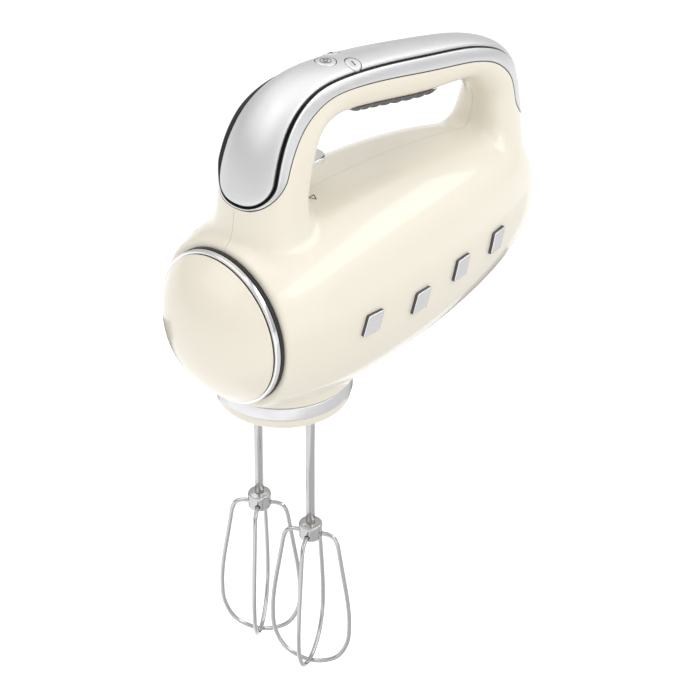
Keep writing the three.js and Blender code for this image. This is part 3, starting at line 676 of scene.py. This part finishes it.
CREAM = plastic("cream_plastic", (0.775, 0.727, 0.62), (0.765, 0.712, 0.60), 0.34, 0.6)
SATIN = metal("satin_silver", (0.71, 0.71, 0.715), (0.69, 0.69, 0.695), 0.5, (9, 1, 9), 700, 0.000002, 0.2)
CHROME = metal("chrome_trim", (0.80, 0.80, 0.81), (0.76, 0.76, 0.77), 0.12, (1, 1, 1), 300, 0.000001)
BAND = metal("band_silver", (0.76, 0.76, 0.77), (0.73, 0.73, 0.74), 0.42, (9, 1, 9), 700, 0.000002, 0.2)
NECK = metal("neck_silver", (0.72, 0.72, 0.73), (0.68, 0.68, 0.69), 0.38, (1, 1, 1), 300, 0.000001)
# Darkened copy of the chrome for the studs' sides: painted shade and dark reflection.
STUD_SIDE_SHADE = metal("stud_side_shade", (0.16, 0.16, 0.165), (0.11, 0.11, 0.115), 0.42, (1, 1, 1), 300, 0.000001)
STEEL = metal("beater_steel", (0.54, 0.54, 0.54), (0.48, 0.48, 0.48), 0.16, (1, 1, 0.15), 900, 0.000003)
TURNED = metal("turned_steel", (0.6, 0.6, 0.61), (0.52, 0.52, 0.54), 0.4, (1, 6, 1), 500)
ALLOY = metal("cast_alloy", (0.55, 0.56, 0.57), (0.45, 0.46, 0.47), 0.45, (1, 1, 1), 400, 0.00002)
BRASS = metal("brass", (0.7, 0.5, 0.22), (0.6, 0.42, 0.18), 0.4, (1, 5, 1), 500)
COPPER = metal("copper_wire", (0.65, 0.27, 0.12), (0.5, 0.18, 0.07), 0.4, (12, 1, 12), 300, 0.00005)
IRON = metal("core_iron", (0.22, 0.23, 0.25), (0.15, 0.16, 0.17), 0.5, (0.2, 14, 0.2), 200, 0.00005)
NYLON = plastic("nylon", (0.8, 0.79, 0.72), (0.74, 0.73, 0.66), 0.45, 0.1)
BLACK = plastic("black_plastic", (0.02, 0.02, 0.022), (0.012, 0.012, 0.013), 0.5, 0.0, 1500, 0.00001)
RUBBER = rubber("grip_rubber", (0.1, 0.102, 0.107), (0.08, 0.082, 0.087))
BOARD = board_material()
SLOT_MATERIALS = {
    "cream_shell": CREAM, "satin_cover": SATIN, "chrome_trim": CHROME, "beater_steel": STEEL, "steel": TURNED,
    "grip_rubber": RUBBER, "black_plastic": BLACK, "nylon": NYLON, "cast_alloy": ALLOY, "brass": BRASS,
    "copper": COPPER, "core_iron": IRON, "circuit_board": BOARD,
}
for part in frame["record"]["subparts"]:
    node = frame["nodes"][part["node"]]
    node.data.materials.clear()
    node.data.materials.append(SLOT_MATERIALS[part["material_slot"]])

# ---------------- housing halves
SCREWS = ((-27, 90), (70, 23), (150, 64), (151, 108))
SCREW_WELL = 3.2


def shade_shell(obj):
    """Exact normals on the shaped skin, flat ones on the rims and cuts."""
    mesh = obj.data
    count = len(mesh.vertices)
    points = np.zeros(count * 3)
    mesh.vertices.foreach_get("co", points)
    points = points.reshape(-1, 3) / MM
    mirrored = points * np.array([-1, 1, 1]) if points[:, 0].mean() < 0 else points
    on_skin = np.abs(shell_field(*mirrored.T)) < 0.3
    normals, _ = field_normals(mirrored)
    if points[:, 0].mean() < 0:
        normals = normals * np.array([-1, 1, 1])
    starts = np.zeros(len(mesh.polygons), int)
    totals = np.zeros(len(mesh.polygons), int)
    mesh.polygons.foreach_get("loop_start", starts)
    mesh.polygons.foreach_get("loop_total", totals)
    corner = np.zeros(len(mesh.loops), int)
    mesh.loops.foreach_get("vertex_index", corner)
    face_normals = np.zeros(len(mesh.polygons) * 3)
    mesh.polygons.foreach_get("normal", face_normals)
    face_normals = face_normals.reshape(-1, 3)
    owner = np.repeat(np.arange(len(mesh.polygons)), totals)
    whole = np.logical_and.reduceat(on_skin[corner], starts)
    agrees = np.einsum("ij,ij->i", normals[corner], face_normals[owner]) > 0.7
    smooth = whole[owner] & agrees
    split = np.where(smooth[:, None], normals[corner], face_normals[owner])
    sunk = ~smooth & ~on_skin[corner]
    vertex_normals = np.zeros(count * 3)
    mesh.vertices.foreach_get("normal", vertex_normals)
    split[sunk] = vertex_normals.reshape(-1, 3)[corner][sunk]
    mesh.normals_split_custom_set(split.tolist())


def build_housing():
    """Both shell halves, cut out for the neck, cord inlet, tongue slot and screw wells."""
    points, faces = thick_half()
    tongue_slot = rounded([(-8.1, 2), (8.1, 2), (8.1, 30), (-8.1, 30)], 1.5, 3)
    common = [
        turned([(0, -20), (35.7, -20), (35.7, 13.3), (33, 13.3), (33, 24), (0, 24)], sides=160, closed=False),
        rod((0, 130, 46), (0, 190, 46), 5.4, 48),
    ]
    slot_cut = prism(tongue_slot, 120.9, 129.7)
    for side, sign in (("left", -1), ("right", 1)):
        flipped = points * np.array([sign, 1, 1])
        obj = make_object(f"shell_{side}", flipped, faces, CREAM, "housing", "cream_shell")
        cutters = [*common, slot_cut]
        if side == "left":
            cutters += [rod((-80, y, z), (-11, y, z), SCREW_WELL, 40) for y, z in SCREWS]
        subtract(obj, cutters)
        shade_shell(obj)
        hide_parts(f"housing_{side}")


build_housing()


# ---------------- front cap, ring and groove
CAP_RADIUS, CAP_DEPTH, CAP_BASE, CAP_Z = 38.6, 19.5, -43.7, 57.6


def cap_profile(inset, count):
    radius, depth = CAP_RADIUS - inset, CAP_DEPTH - inset
    sphere = (radius ** 2 + depth ** 2) / (2 * depth)
    angles = np.linspace(math.asin(radius / sphere), 0, count)
    return [(sphere * math.sin(a), CAP_BASE + sphere - depth - sphere * math.cos(a)) for a in angles]


outer_arc = cap_profile(0, 60)
edge = [(37.2, CAP_BASE + 0.6), (38.2, CAP_BASE), (38.55, CAP_BASE - 0.35), (38.45, CAP_BASE - 0.9)]
dome_profile = edge + outer_arc[3:] + cap_profile(2.4, 24)[::-1] + edge[:1]
cap = lathe("dome", dome_profile, CREAM, "housing", "cream_shell", (0, 0, CAP_Z), "Y", 160, False)
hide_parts("front_cap")
ring_corners = [(37.95, -43.35), (40.1, -43.35), (40.1, -40.65), (37.95, -40.65)]
ring_section = rounded(ring_corners, [0.9, 0.9, 0.3, 0.3])
ring = lathe("chrome_ring", ring_section, CHROME, "housing", "chrome_trim", (0, 0, CAP_Z), "Y", 192)
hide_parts("cap_ring")
groove = rounded([(36.6, -40.3), (40.3, -40.3), (40.3, -38.25), (36.6, -38.25)], 0.3)
# Black ring filling the groove behind the chrome ring: painted shadow standing in for the shade in this
# recess, not a real seal.
gasket = lathe("groove_shadow_ring", groove, BLACK, "housing", "grip_rubber", (0, 0, CAP_Z), "Y", 160)
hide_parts("cap_gasket")

# ---------------- boss and its chrome band
band = rounded([(33.1, 5.95), (35.2, 5.95), (34.75, 12.9), (33.1, 12.9)], [0.3, 0.7, 0.7, 0.3])
trim = lathe("neck_band", band, NECK, "housing", "chrome_trim", sides=192)
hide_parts("boss_trim")
plate = rounded([(0, 0), (33.9, 0), (34.35, 5.6), (32.6, 5.6), (32.6, 13.9), (0, 13.9)],
                [0, 2.6, 0.5, 0, 0.4, 0], 8, False)
boss = lathe("beater_plate", plate, CREAM, "housing", "cream_shell", sides=192, closed=False)
sockets = []
for x in (-SOCKET_X, SOCKET_X):
    well = [(0, -1), (7.4, -1), (6.6, 0.9), (5.75, 1.2), (5.75, 16), (0, 16)]
    sockets.append(turned(well, (x, 0, 0), sides=64, closed=False))
subtract(boss, sockets)
soften(boss, 30)
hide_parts("beater_boss")

# ---------------- bezel and cover on the grip
COVER_GAP = 0.95
cover_line = outline(COVER_SPAN, COVER_COLUMN)
bezel_line = outline(BEZEL_SPAN, BEZEL_COLUMN)


def strip_ring(name, section, material, body, slot):
    """Closed band whose section lists (outline, growth, depth) in mm, or a blend between two outlines."""
    rings = []
    for entry in section:
        if len(entry) == 3:
            line, growth, depth = entry
            loop = grown(line, growth)
        else:
            line_a, growth_a, line_b, growth_b, share, depth = entry
            loop = grown(line_a, growth_a) * (1 - share) + grown(line_b, growth_b) * share
        rings.append(skin(loop[:, 0], loop[:, 1], depth))
    count = len(rings[0])
    return make_object(name, np.concatenate(rings), ring_faces(len(rings), count, True), material, body, slot)


PROUD = -0.3


def lip(line):
    """How far the band's inner rim stands out: highest along the sides of the tongue at the front."""
    u = line[:, 0]
    return PROUD - 2.2 * smoothstep((u - 2.15) / 0.9) * smoothstep((7.0 - u) / 2.5)


band_section = [
    (bezel_line, 0.0, 1.4),
    (bezel_line, 0.0, 0.25),
    (bezel_line, -0.06, -0.02),
    (bezel_line, -0.22, PROUD * 0.75),
    (bezel_line, -0.5, PROUD),
]
for share in (0.15, 0.3, 0.5, 0.7, 0.85):
    depth = PROUD + (lip(cover_line) - PROUD) * share ** 1.5
    band_section.append((bezel_line, -0.5, cover_line, COVER_GAP + 0.5, share, depth))
band_section += [
    (cover_line, COVER_GAP + 0.5, lip(cover_line)),
    (cover_line, COVER_GAP + 0.2, lip(cover_line) - PROUD * 0.25),
    (cover_line, COVER_GAP + 0.05, lip(cover_line) - PROUD * 0.9),
    (cover_line, COVER_GAP, 0.25),
    (cover_line, COVER_GAP, 1.9),
    (cover_line, COVER_GAP + 1.2, 1.9),
]
bezel = strip_ring("grip_band", band_section, BAND, "housing", "chrome_trim")
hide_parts("handle_bezel")
# Black strips at the band's outer edge, under the cover's rim and up the band's inner wall: painted shadow
# standing in for the shade in these gaps.
GAP_SHADE_STRIPS = {
    "band_gap_shade": [
        (bezel_line, -0.25, 0.6),
        (bezel_line, -0.25, -0.05),
        (bezel_line, 0.42, -0.05),
        (bezel_line, 0.42, 0.6),
    ],
    "cover_gap_shade": [
        (cover_line, COVER_GAP + 0.6, 1.35),
        (cover_line, -1.4, 1.35),
        (cover_line, -1.4, 1.75),
        (cover_line, COVER_GAP + 0.6, 1.75),
    ],
    "band_wall_shade": [
        (cover_line, COVER_GAP + 0.12, 1.5),
        (cover_line, COVER_GAP + 0.12, lip(cover_line) + 0.3),
        (cover_line, COVER_GAP - 0.12, lip(cover_line) + 0.3),
        (cover_line, COVER_GAP - 0.12, 1.5),
    ],
}
for name, section in GAP_SHADE_STRIPS.items():
    strip_ring(name, section, BLACK, "housing", "black_plastic")


def cover_mesh():
    """Closed lid that follows the skin: rounded rim, faintly raised middle, flat underside."""
    profile = [(-0.3, 1.2), (-0.3, 0.6), (-0.36, 0.28), (-0.55, 0.0), (-0.9, -0.22), (-1.5, -0.38),
               (-2.3, -0.45)]
    loops = [grown(cover_line, growth) for growth, _ in profile]
    rings = [skin(loop[:, 0], loop[:, 1], depth) for loop, (_, depth) in zip(loops, profile)]
    count = len(cover_line)
    half = count // 2 + 1
    points = list(np.concatenate(rings))
    faces = ring_faces(len(rings), count)
    top_base = (len(rings) - 1) * count
    for loop, depth, base, flip in ((loops[-1], -0.45, top_base, False), (loops[0], 1.2, 0, True)):
        across = 26
        rows = []
        for i in range(half):
            other = (count - i) % count
            inner = []
            for s in np.linspace(0, 1, across + 1)[1:-1]:
                u = loop[i, 0] * (1 - s) + loop[other, 0] * s
                phi = loop[i, 1] * (1 - s) + loop[other, 1] * s
                crown = depth - (0.2 * (1 - (2 * s - 1) ** 2) if depth < 0 else 0)
                points.append(skin(u, phi, crown))
                inner.append(len(points) - 1)
            rows.append([base + i, *inner, base + other])
        for a, b in zip(rows, rows[1:]):
            for j in range(across):
                quad = (a[j], a[j + 1], b[j + 1], b[j])
                faces.append(quad[::-1] if flip else quad)
    return np.array(points), faces


def button_place(u, degrees):
    """Middle of a button on the skin, its outward normal and the skin's two directions there."""
    phi = math.radians(degrees)
    d = 0.01
    along = (skin(u + d, phi) - skin(u - d, phi))
    around = (skin(u, phi + d) - skin(u, phi - d))
    normal = np.cross(around, along)
    along, normal = along / np.linalg.norm(along), normal / np.linalg.norm(normal)
    return skin(u, phi), normal, along, np.cross(normal, along)


cover = make_object("grip_cover", *cover_mesh(), SATIN, "housing", "satin_cover")
holes = []
for u, degrees, radius in BUTTONS.values():
    centre, normal, _, _ = button_place(u, degrees)
    holes.append(rod(centre - normal * 4, centre + normal * 4, radius + 0.32, 72))
subtract(cover, holes)
soften(cover, 40)
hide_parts("handle_cover")


def drop_to_skin(start, normal, lift):
    """Where rays from the start points along the normal meet the skin, plus lift."""
    p = start.copy()
    for _ in range(12):
        u, v, height, width, _ = handle_section(p[:, 1], p[:, 2])
        c = v / height - WIDEST_AT
        b = c / np.where(c > 0, 1 - WIDEST_AT, 1 + WIDEST_AT)
        g = (np.abs(p[:, 0] / width) ** SQUARENESS + np.abs(b) ** SQUARENESS) ** (1 / SQUARENESS)
        across = (np.abs(p[:, 0]) / width) ** (SQUARENESS - 1) / width
        slope = np.hypot(across, np.abs(b) ** (SQUARENESS - 1) / height)
        gap = (g - 1) / np.maximum(slope * g ** (1 - SQUARENESS), 1e-3) - lift
        p = p - normal * gap[:, None]
    return p


def button_mesh(u, degrees, radius):
    """Round key whose top follows the cover, with a rounded rim and a faint dish."""
    centre, normal, along, side = button_place(u, degrees)
    profile = [(1.0, -1.5), (1.0, -0.2), (0.985, 0.3), (0.95, 0.55), (0.88, 0.72), (0.8, 0.76), (0.6, 0.72),
               (0.4, 0.68), (0.2, 0.66)]
    a = np.linspace(0, 2 * math.pi, 64, endpoint=False)
    rings = []
    for share, lift in profile:
        flat = centre + radius * share * (np.cos(a)[:, None] * along + np.sin(a)[:, None] * side)
        rings.append(drop_to_skin(flat, normal, lift))
    rings.append(drop_to_skin(centre[None, :], normal, 0.66))
    points = np.concatenate(rings)
    faces = ring_faces(len(profile), 64)
    last = len(points) - 1
    inner = (len(profile) - 1) * 64
    faces += [(inner + j, inner + (j + 1) % 64, last) for j in range(64)]
    faces.append(tuple(range(63, -1, -1)))
    return points, faces


def marks_on_button(name, u, degrees, strokes, width, body):
    """Thin dark strokes printed on a key: each stroke is a list of (along, side) offsets in mm."""
    centre, normal, along, side = button_place(u, degrees)
    parts = []
    for stroke in strokes:
        stroke = np.asarray(stroke, float)
        flat = centre + stroke[:, 0:1] * along + stroke[:, 1:2] * side
        top = drop_to_skin(flat, normal, 0.74)
        closed = np.allclose(stroke[0], stroke[-1])
        path = top[:-1] if closed else top
        parts.append(tube_mesh(path, width / 2, 8, closed))
    return make_object(name, *joined(parts), BLACK, body, "black_plastic")


def arc(radius, start, end, count=24):
    a = np.radians(np.linspace(start, end, count))
    return [(radius * math.cos(v), radius * math.sin(v)) for v in a]


MARKS = {
    "power_button": ([arc(1.15, 45, 315), [(0.5, 0), (1.6, 0)], arc(2.7, 0, 360, 48)], 0.28, "power_key"),
    "speed_down_button": ([[(0, -1.5), (0, 1.5)]], 0.5, "speed_down_key"),
    "speed_up_button": ([[(0, -1.5), (0, 1.5)], [(-1.5, 0), (1.5, 0)]], 0.5, "speed_up_key"),
}
for name, (u, degrees, radius) in BUTTONS.items():
    strokes, width, body = MARKS[name]
    cap_points, cap_faces = button_mesh(u, degrees, radius)
    key = make_object(name.replace("button", "cap"), cap_points, cap_faces, SATIN, body, "satin_cover")
    soften(key, 50)
    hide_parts(name)
    marks_on_button(name.replace("button", "sign"), u, degrees, strokes, width, body)
    centre, normal, along, side = button_place(u, degrees)
    # Black ring sunk round each key: painted shade standing in for the dark gap under the key's rim.
    section = [(radius - 0.6, 3.6), (radius + 0.9, 3.6), (radius + 0.9, 3.9), (radius - 0.6, 3.9)]
    a = np.linspace(0, 2 * math.pi, 64, endpoint=False)[:, None]
    rings = [centre - normal * depth + r * (np.cos(a) * along + np.sin(a) * side) for r, depth in section]
    key_gap_shade = make_object(name.replace("button", "key_gap_shade"), np.concatenate(rings), ring_faces(4, 64, True), BLACK,
                       "housing", "black_plastic")
    soften(key_gap_shade, 30)

# ---------------- ribbed pad under the grip
PAD_START, PAD_END, PAD_RIBS, PAD_HALF_ANGLE = 7.22, 9.42, 8, 0.8


def pad_mesh():
    us = np.linspace(PAD_START, PAD_END, 170)
    across = 28
    rings = []
    for u in us:
        place = (u - PAD_START) / (PAD_END - PAD_START)
        lobe = abs(math.sin(math.pi * PAD_RIBS * place)) ** 0.7
        taper = min(1, 12 * min(place, 1 - place)) ** 0.5
        angles = np.linspace(-PAD_HALF_ANGLE, PAD_HALF_ANGLE, across)
        fall = np.sqrt(np.clip(1 - (angles / PAD_HALF_ANGLE) ** 4, 0, 1))
        height = 0.1 + (0.15 + 2.0 * lobe) * taper * fall
        top = skin(u, math.pi + angles, -0.35 - height)
        bottom = skin(u, math.pi + angles[::-1], -0.35)
        rings.append(np.concatenate([top, bottom]))
    n = 2 * across
    faces = ring_faces(len(rings), n)
    faces += end_caps(len(rings), n)
    return np.concatenate(rings), faces


pad = make_object("ribbed_pad", *pad_mesh(), RUBBER, "housing", "grip_rubber")
soften(pad, 60)
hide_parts("grip_pad")

# ---------------- ejector tongue
TONGUE_TIP, TONGUE_HALF, TONGUE_TOP = 27.0, 7.5, 129.1


def tongue_mesh():
    """Paddle with a round end, dished along its middle and turned down at its rim."""
    rounds = np.linspace(-math.pi / 2, math.pi / 2, 40)
    middle = TONGUE_TIP - TONGUE_HALF
    outline_points = [(-TONGUE_HALF, -0.5)]
    outline_points += [(TONGUE_HALF * math.sin(a), middle + TONGUE_HALF * math.cos(a)) for a in rounds]
    outline_points += [(TONGUE_HALF, -0.5)]
    outer = np.array(outline_points)
    core = np.array([0, 9.0])
    rings = []
    top = ((0.02, 0.55), (0.4, 0.62), (0.7, 0.8), (0.86, 1.0), (0.94, 1.02), (0.985, 0.75), (1.0, 0.3))
    underside = ((1.0, -1.15), (0.985, -1.65), (0.95, -1.85), (0.9, -1.75), (0.86, -1.4), (0.7, -1.2),
                 (0.4, -1.05), (0.02, -1.0))
    for share, z in top + underside:
        flat = core + (outer - core) * share
        rise = 0.035 * np.maximum(flat[:, 1] - 8, 0) ** 1.35
        rings.append(np.column_stack([flat[:, 0], flat[:, 1], TONGUE_TOP - 1.1 + z - rise * 0.25]))
    n = len(outer)
    faces = ring_faces(len(rings), n)
    faces += end_caps(len(rings), n)
    return np.concatenate(rings), faces


tongue = make_object("eject_tongue", *tongue_mesh(), CHROME, "ejector", "chrome_trim")
soften(tongue, 50)
stem = rounded([(-4, -1), (4, -1), (4, 3), (-4, 3)], 0.8, 3)
stem_piece = make_object("eject_stem", *prism(stem, 87.4, 127.6), CHROME, "ejector", "chrome_trim")
soften(stem_piece, 40)
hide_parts("eject_lever")

spring_low, spring_high, spring_turns = 74.9, 83.4, 5
along_wire = np.linspace(0, 1, 200)
wound = 2 * math.pi * spring_turns * along_wire
coil_z = spring_low + (spring_high - spring_low) * along_wire
coil = np.stack([4 * np.cos(wound), 4 * np.sin(wound), coil_z], 1)
spring = make_object("return_spring", *tube_mesh(coil, 0.35, 10), TURNED, "housing", "steel")
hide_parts("eject_spring")
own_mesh(spring)


# ---------------- direction mark below the tongue: a small triangle
def on_shell(points):
    """The points moved on to the shell's outer surface."""
    for _ in range(4):
        n, size = field_normals(points)
        points = points - n * (shell_field(*points.T) / np.maximum(size, 0.4))[:, None]
    return points


def surface_mark(name, centre, corners, width, lift, material):
    """Thin raised line round a small outline laid on the shell; corners are (along X, along Y) offsets."""
    centre = np.array(centre, float)
    path = []
    for a, b in zip(corners, corners[1:] + corners[:1]):
        for s in np.linspace(0, 1, 10, endpoint=False):
            path.append(centre + np.array([a[0] + (b[0] - a[0]) * s, a[1] + (b[1] - a[1]) * s, 0]))
    path = on_shell(np.array(path))
    normals, _ = field_normals(path)
    return make_object(name, *tube_mesh(path + normals * lift, width / 2, 8, True), material, "housing",
                       "black_plastic")


surface_mark("eject_sign", (7.5, 14.5, 111), [(2.0, 0), (-1.6, 1.7), (-1.6, -1.7)], 0.45, 0.02, BLACK)

# ---------------- studs on the flank: plain lozenges
STUD_SIZE, STUD_SLANT = 10.5, 0.35
STUDS = ((10.5, 59.3), (45, 57), (77.5, 61.3), (111, 61.8))
STUD_STEPS = 5
STUD_SIDES = 4 * (STUD_STEPS + 1)


def stud_mesh(y, z):
    centre = on_shell(np.array([[52.0, y, z]]))[0]
    normal = field_normals(centre[None, :])[0][0]
    along = np.cross((0, 0, 1), normal)
    along /= np.linalg.norm(along)
    up = np.cross(normal, along)
    half = STUD_SIZE / 2
    corners = [(-half, -half), (half, -half), (half, half), (-half, half)]
    slanted = [(a + STUD_SLANT * b, b) for a, b in corners]
    base = np.array(rounded(slanted, 1.1, STUD_STEPS))
    rings = []
    for inset, lift in ((0, -0.4), (0, 1.5), (0.05, 1.75), (0.22, 1.95), (0.5, 2.0), (0.9, 2.02),
                        (1.3, 1.92), (1.8, 1.88)):
        scale = 1 - inset / half
        flat = centre + base[:, 0:1] * scale * along + base[:, 1:2] * scale * up
        rings.append(on_shell(flat) + normal * lift)
    n = len(base)
    faces = ring_faces(len(rings), n)
    faces += end_caps(len(rings), n)
    return np.concatenate(rings), faces


for k, (y, z) in enumerate(STUDS, 1):
    stud = make_object(f"lozenge_{k}", *stud_mesh(y, z), CHROME, "housing", "chrome_trim")
    # The faces of each stud's sides and first bend take the darkened chrome, a painted shade and dark
    # reflection; the rest stays plain chrome.
    stud.data.materials.append(STUD_SIDE_SHADE)
    for face in stud.data.polygons:
        face.material_index = 1 if face.index < 2 * STUD_SIDES else 0
    soften(stud, 45)
    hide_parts(f"flank_stud_{k}")

# ---------------- beaters
WIRE_LOOP = [
    (4, -78.2), (9.5, -78.4), (12.6, -79.8), (14.6, -84), (16, -92), (17.4, -101),
    (20.4, -121), (21.3, -134), (20.3, -147.5), (15, -158.5), (7.5, -163.3),
]
WIRE_LOW, LOOP_STEP, WIRE_R, SHAFT_R = -164.9, 2.5, 1.15, 2.35


def wire_path(turn, raised, x):
    half = [(r, z if k < len(WIRE_LOOP) - 3 else z + raised) for k, (r, z) in enumerate(WIRE_LOOP)]
    flat = half + [(0, WIRE_LOW + raised)] + [(-r, z) for r, z in reversed(half)]
    c, s = math.cos(math.radians(turn)), math.sin(math.radians(turn))
    return smooth_path([(x + r * c, r * s, z) for r, z in flat], 240)


GROOVE_R = SHAFT_R - 0.35
SHAFT_PROFILE = [
    (0, -71.7), (SHAFT_R - 0.2, -71.7), (SHAFT_R, -71.4), (SHAFT_R, 30), (GROOVE_R, 30.6),
    (GROOVE_R, 32.4), (SHAFT_R, 33), (SHAFT_R, 44.4), (SHAFT_R - 0.9, 45.8), (0, 46),
]
HUB_CORNERS = [(0, -81.2), (5.6, -81.2), (6.2, -80.2), (6.2, -73.4), (5.9, -72.2), (3.2, -71.5), (0, -71.5)]
HUB_PROFILE = rounded(HUB_CORNERS, [0, 0.5, 0.4, 0.4, 0.5, 0.4, 0], 4, False)
HUB_HOLE_Z = -78.2
for side, x, turn in (("left", -SOCKET_X, 36), ("right", SOCKET_X, 27)):
    body = f"beater_{side}"
    steel = (STEEL, body, "beater_steel")
    shaft = lathe(f"shaft_{side}", SHAFT_PROFILE, *steel, (x, 0, 0), sides=48, closed=False)
    soften(shaft, 40)
    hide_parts(f"beater_shaft_{side}")
    hub = lathe(f"hub_{side}", HUB_PROFILE, *steel, (x, 0, 0), sides=64, closed=False)
    cuts = []
    for extra in (0, 90, 180, 270):
        c, s = math.cos(math.radians(turn + extra)), math.sin(math.radians(turn + extra))
        ends = [(x + reach * c, reach * s, HUB_HOLE_Z) for reach in (3.9, 8)]
        cuts.append(rod(*ends, WIRE_R + 0.35, 24))
    subtract(hub, cuts)
    soften(hub, 35)
    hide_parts(f"beater_hub_{side}")
    for letter, extra, raised in (("a", 0, 0.0), ("b", 90, LOOP_STEP)):
        loop = tube_mesh(wire_path(turn + extra, raised, x), WIRE_R, 16)
        wire = make_object(f"loop_{letter}_{side}", *loop, *steel)
        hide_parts(f"beater_wire_{letter}_{side}")

# ---------------- floor, lights, camera
FLOOR_Z = -420.0
WORLD_SHADES = [(0.4, 0.45), (0.52, 0.5), (0.64, 0.66), (0.85, 0.78)]


def plain_plane(name, centre, facing, size_x, size_y, grey, glow):
    """Flat sheet of the studio, its front turned to a point."""
    a, b = size_x / 2, size_y / 2
    mesh = bpy.data.meshes.new(name)
    mesh.from_pydata([(-a, -b, 0), (a, -b, 0), (a, b, 0), (-a, b, 0)], [], [(0, 1, 2, 3)])
    obj = linked(name, mesh)
    obj.location = centre
    obj.rotation_euler = (Vector(facing) - Vector(centre)).to_track_quat("Z", "Y").to_euler()
    material, tree, shader = new_material(name)
    preset(shader, {"Base Color": (grey, grey, grey, 1), "Roughness": 1.0, "Specular IOR Level": 0.0,
                    "Emission Color": (1, 1, 1, 1), "Emission Strength": glow})
    mesh.materials.append(material)
    return obj


def dark_card(name, centre, facing, size_x, size_y, grey, diffuse):
    """Unlit card that reflections show, unseen by the camera; with diffuse it also dims soft light."""
    obj = plain_plane(name, centre, facing, size_x, size_y, grey, 0.0)
    obj.visible_camera = False
    obj.visible_shadow = False
    obj.visible_diffuse = diffuse
    return obj


def area_light(name, place, target, size, power, size_y=None):
    light = bpy.data.lights.new(name, "AREA")
    light.shape = "RECTANGLE"
    light.size = size
    light.size_y = size_y or size
    light.energy = power
    obj = linked(name, light)
    obj.location = place
    obj.rotation_euler = (Vector(target) - Vector(place)).to_track_quat("-Z", "Y").to_euler()
    return obj


def studio_world():
    """Pale surroundings: grey low down, brighter towards the top."""
    world = bpy.data.worlds.new("studio")
    bpy.context.scene.world = world
    world.use_nodes = True
    tree = world.node_tree
    where = tree.nodes.new("ShaderNodeTexCoord")
    split = tree.nodes.new("ShaderNodeSeparateXYZ")
    span = tree.nodes.new("ShaderNodeMapRange")
    span.inputs["From Min"].default_value = -1.0
    tree.links.new(where.outputs["Generated"], split.inputs["Vector"])
    tree.links.new(split.outputs["Z"], span.inputs["Value"])
    shade = ramp_node(tree, span.outputs["Result"], WORLD_SHADES)
    tree.links.new(shade, tree.nodes["Background"].inputs["Color"])


VIEW_TURN = math.radians(43.77)
VIEW_RISE = math.radians(32.76)
VIEW_ROLL = math.radians(0.39)
VIEW_DISTANCE = 1216.0
VIEW_ACROSS, VIEW_UP = 33.7, 21.2


def make_camera():
    sin, cos = math.sin, math.cos
    right = Vector((cos(VIEW_TURN), sin(VIEW_TURN), 0))
    up = Vector((-sin(VIEW_TURN) * sin(VIEW_RISE), cos(VIEW_TURN) * sin(VIEW_RISE), cos(VIEW_RISE)))
    back = Vector((sin(VIEW_TURN) * cos(VIEW_RISE), -cos(VIEW_TURN) * cos(VIEW_RISE), sin(VIEW_RISE)))
    right_rolled = cos(VIEW_ROLL) * right + sin(VIEW_ROLL) * up
    up_rolled = cos(VIEW_ROLL) * up - sin(VIEW_ROLL) * right
    place = back * VIEW_DISTANCE + right_rolled * VIEW_ACROSS + up_rolled * VIEW_UP
    camera = bpy.data.cameras.new("camera")
    camera.lens = 123.4
    camera.sensor_width = 36
    camera.clip_start = 0.05
    camera.clip_end = 50
    obj = linked("camera", camera)
    turn = Matrix((right_rolled, up_rolled, back)).transposed().to_4x4()
    obj.matrix_world = Matrix.Translation(place * MM) @ turn
    bpy.context.scene.camera = obj


bpy.context.scene.view_settings.view_transform = "Standard"
plain_plane("floor", (0, 0, FLOOR_Z * MM), (0, 0, 1), 80, 80, 0.9, 0.3)
studio_world()
area_light("key", (-0.5, -1.3, 1.8), (0, 0, 0.05), 2.0, 10)
area_light("fill", (1.9, -0.3, 0.6), (0, 0.05, 0.05), 2.0, 8)
area_light("strip", (0.98, 0.9, 1.2), (0, 0.05, 0.08), 2.2, 9, 0.6)
area_light("top", (-0.3, 0.3, 1.9), (0, 0.05, 0.1), 2.2, 10)
dark_card("card_behind", (-0.5, 0.25, -0.355), (0, 0, -0.355), 0.95, 0.13, 0.03, False)
dark_card("card_back", (-0.1, 0.55, -0.355), (0, 0, -0.355), 0.5, 0.13, 0.04, False)
dark_card("card_below", (0.5, 0.35, -0.25), (0.5, 0.35, 0), 1.0, 1.1, 0.68, True)
make_camera()
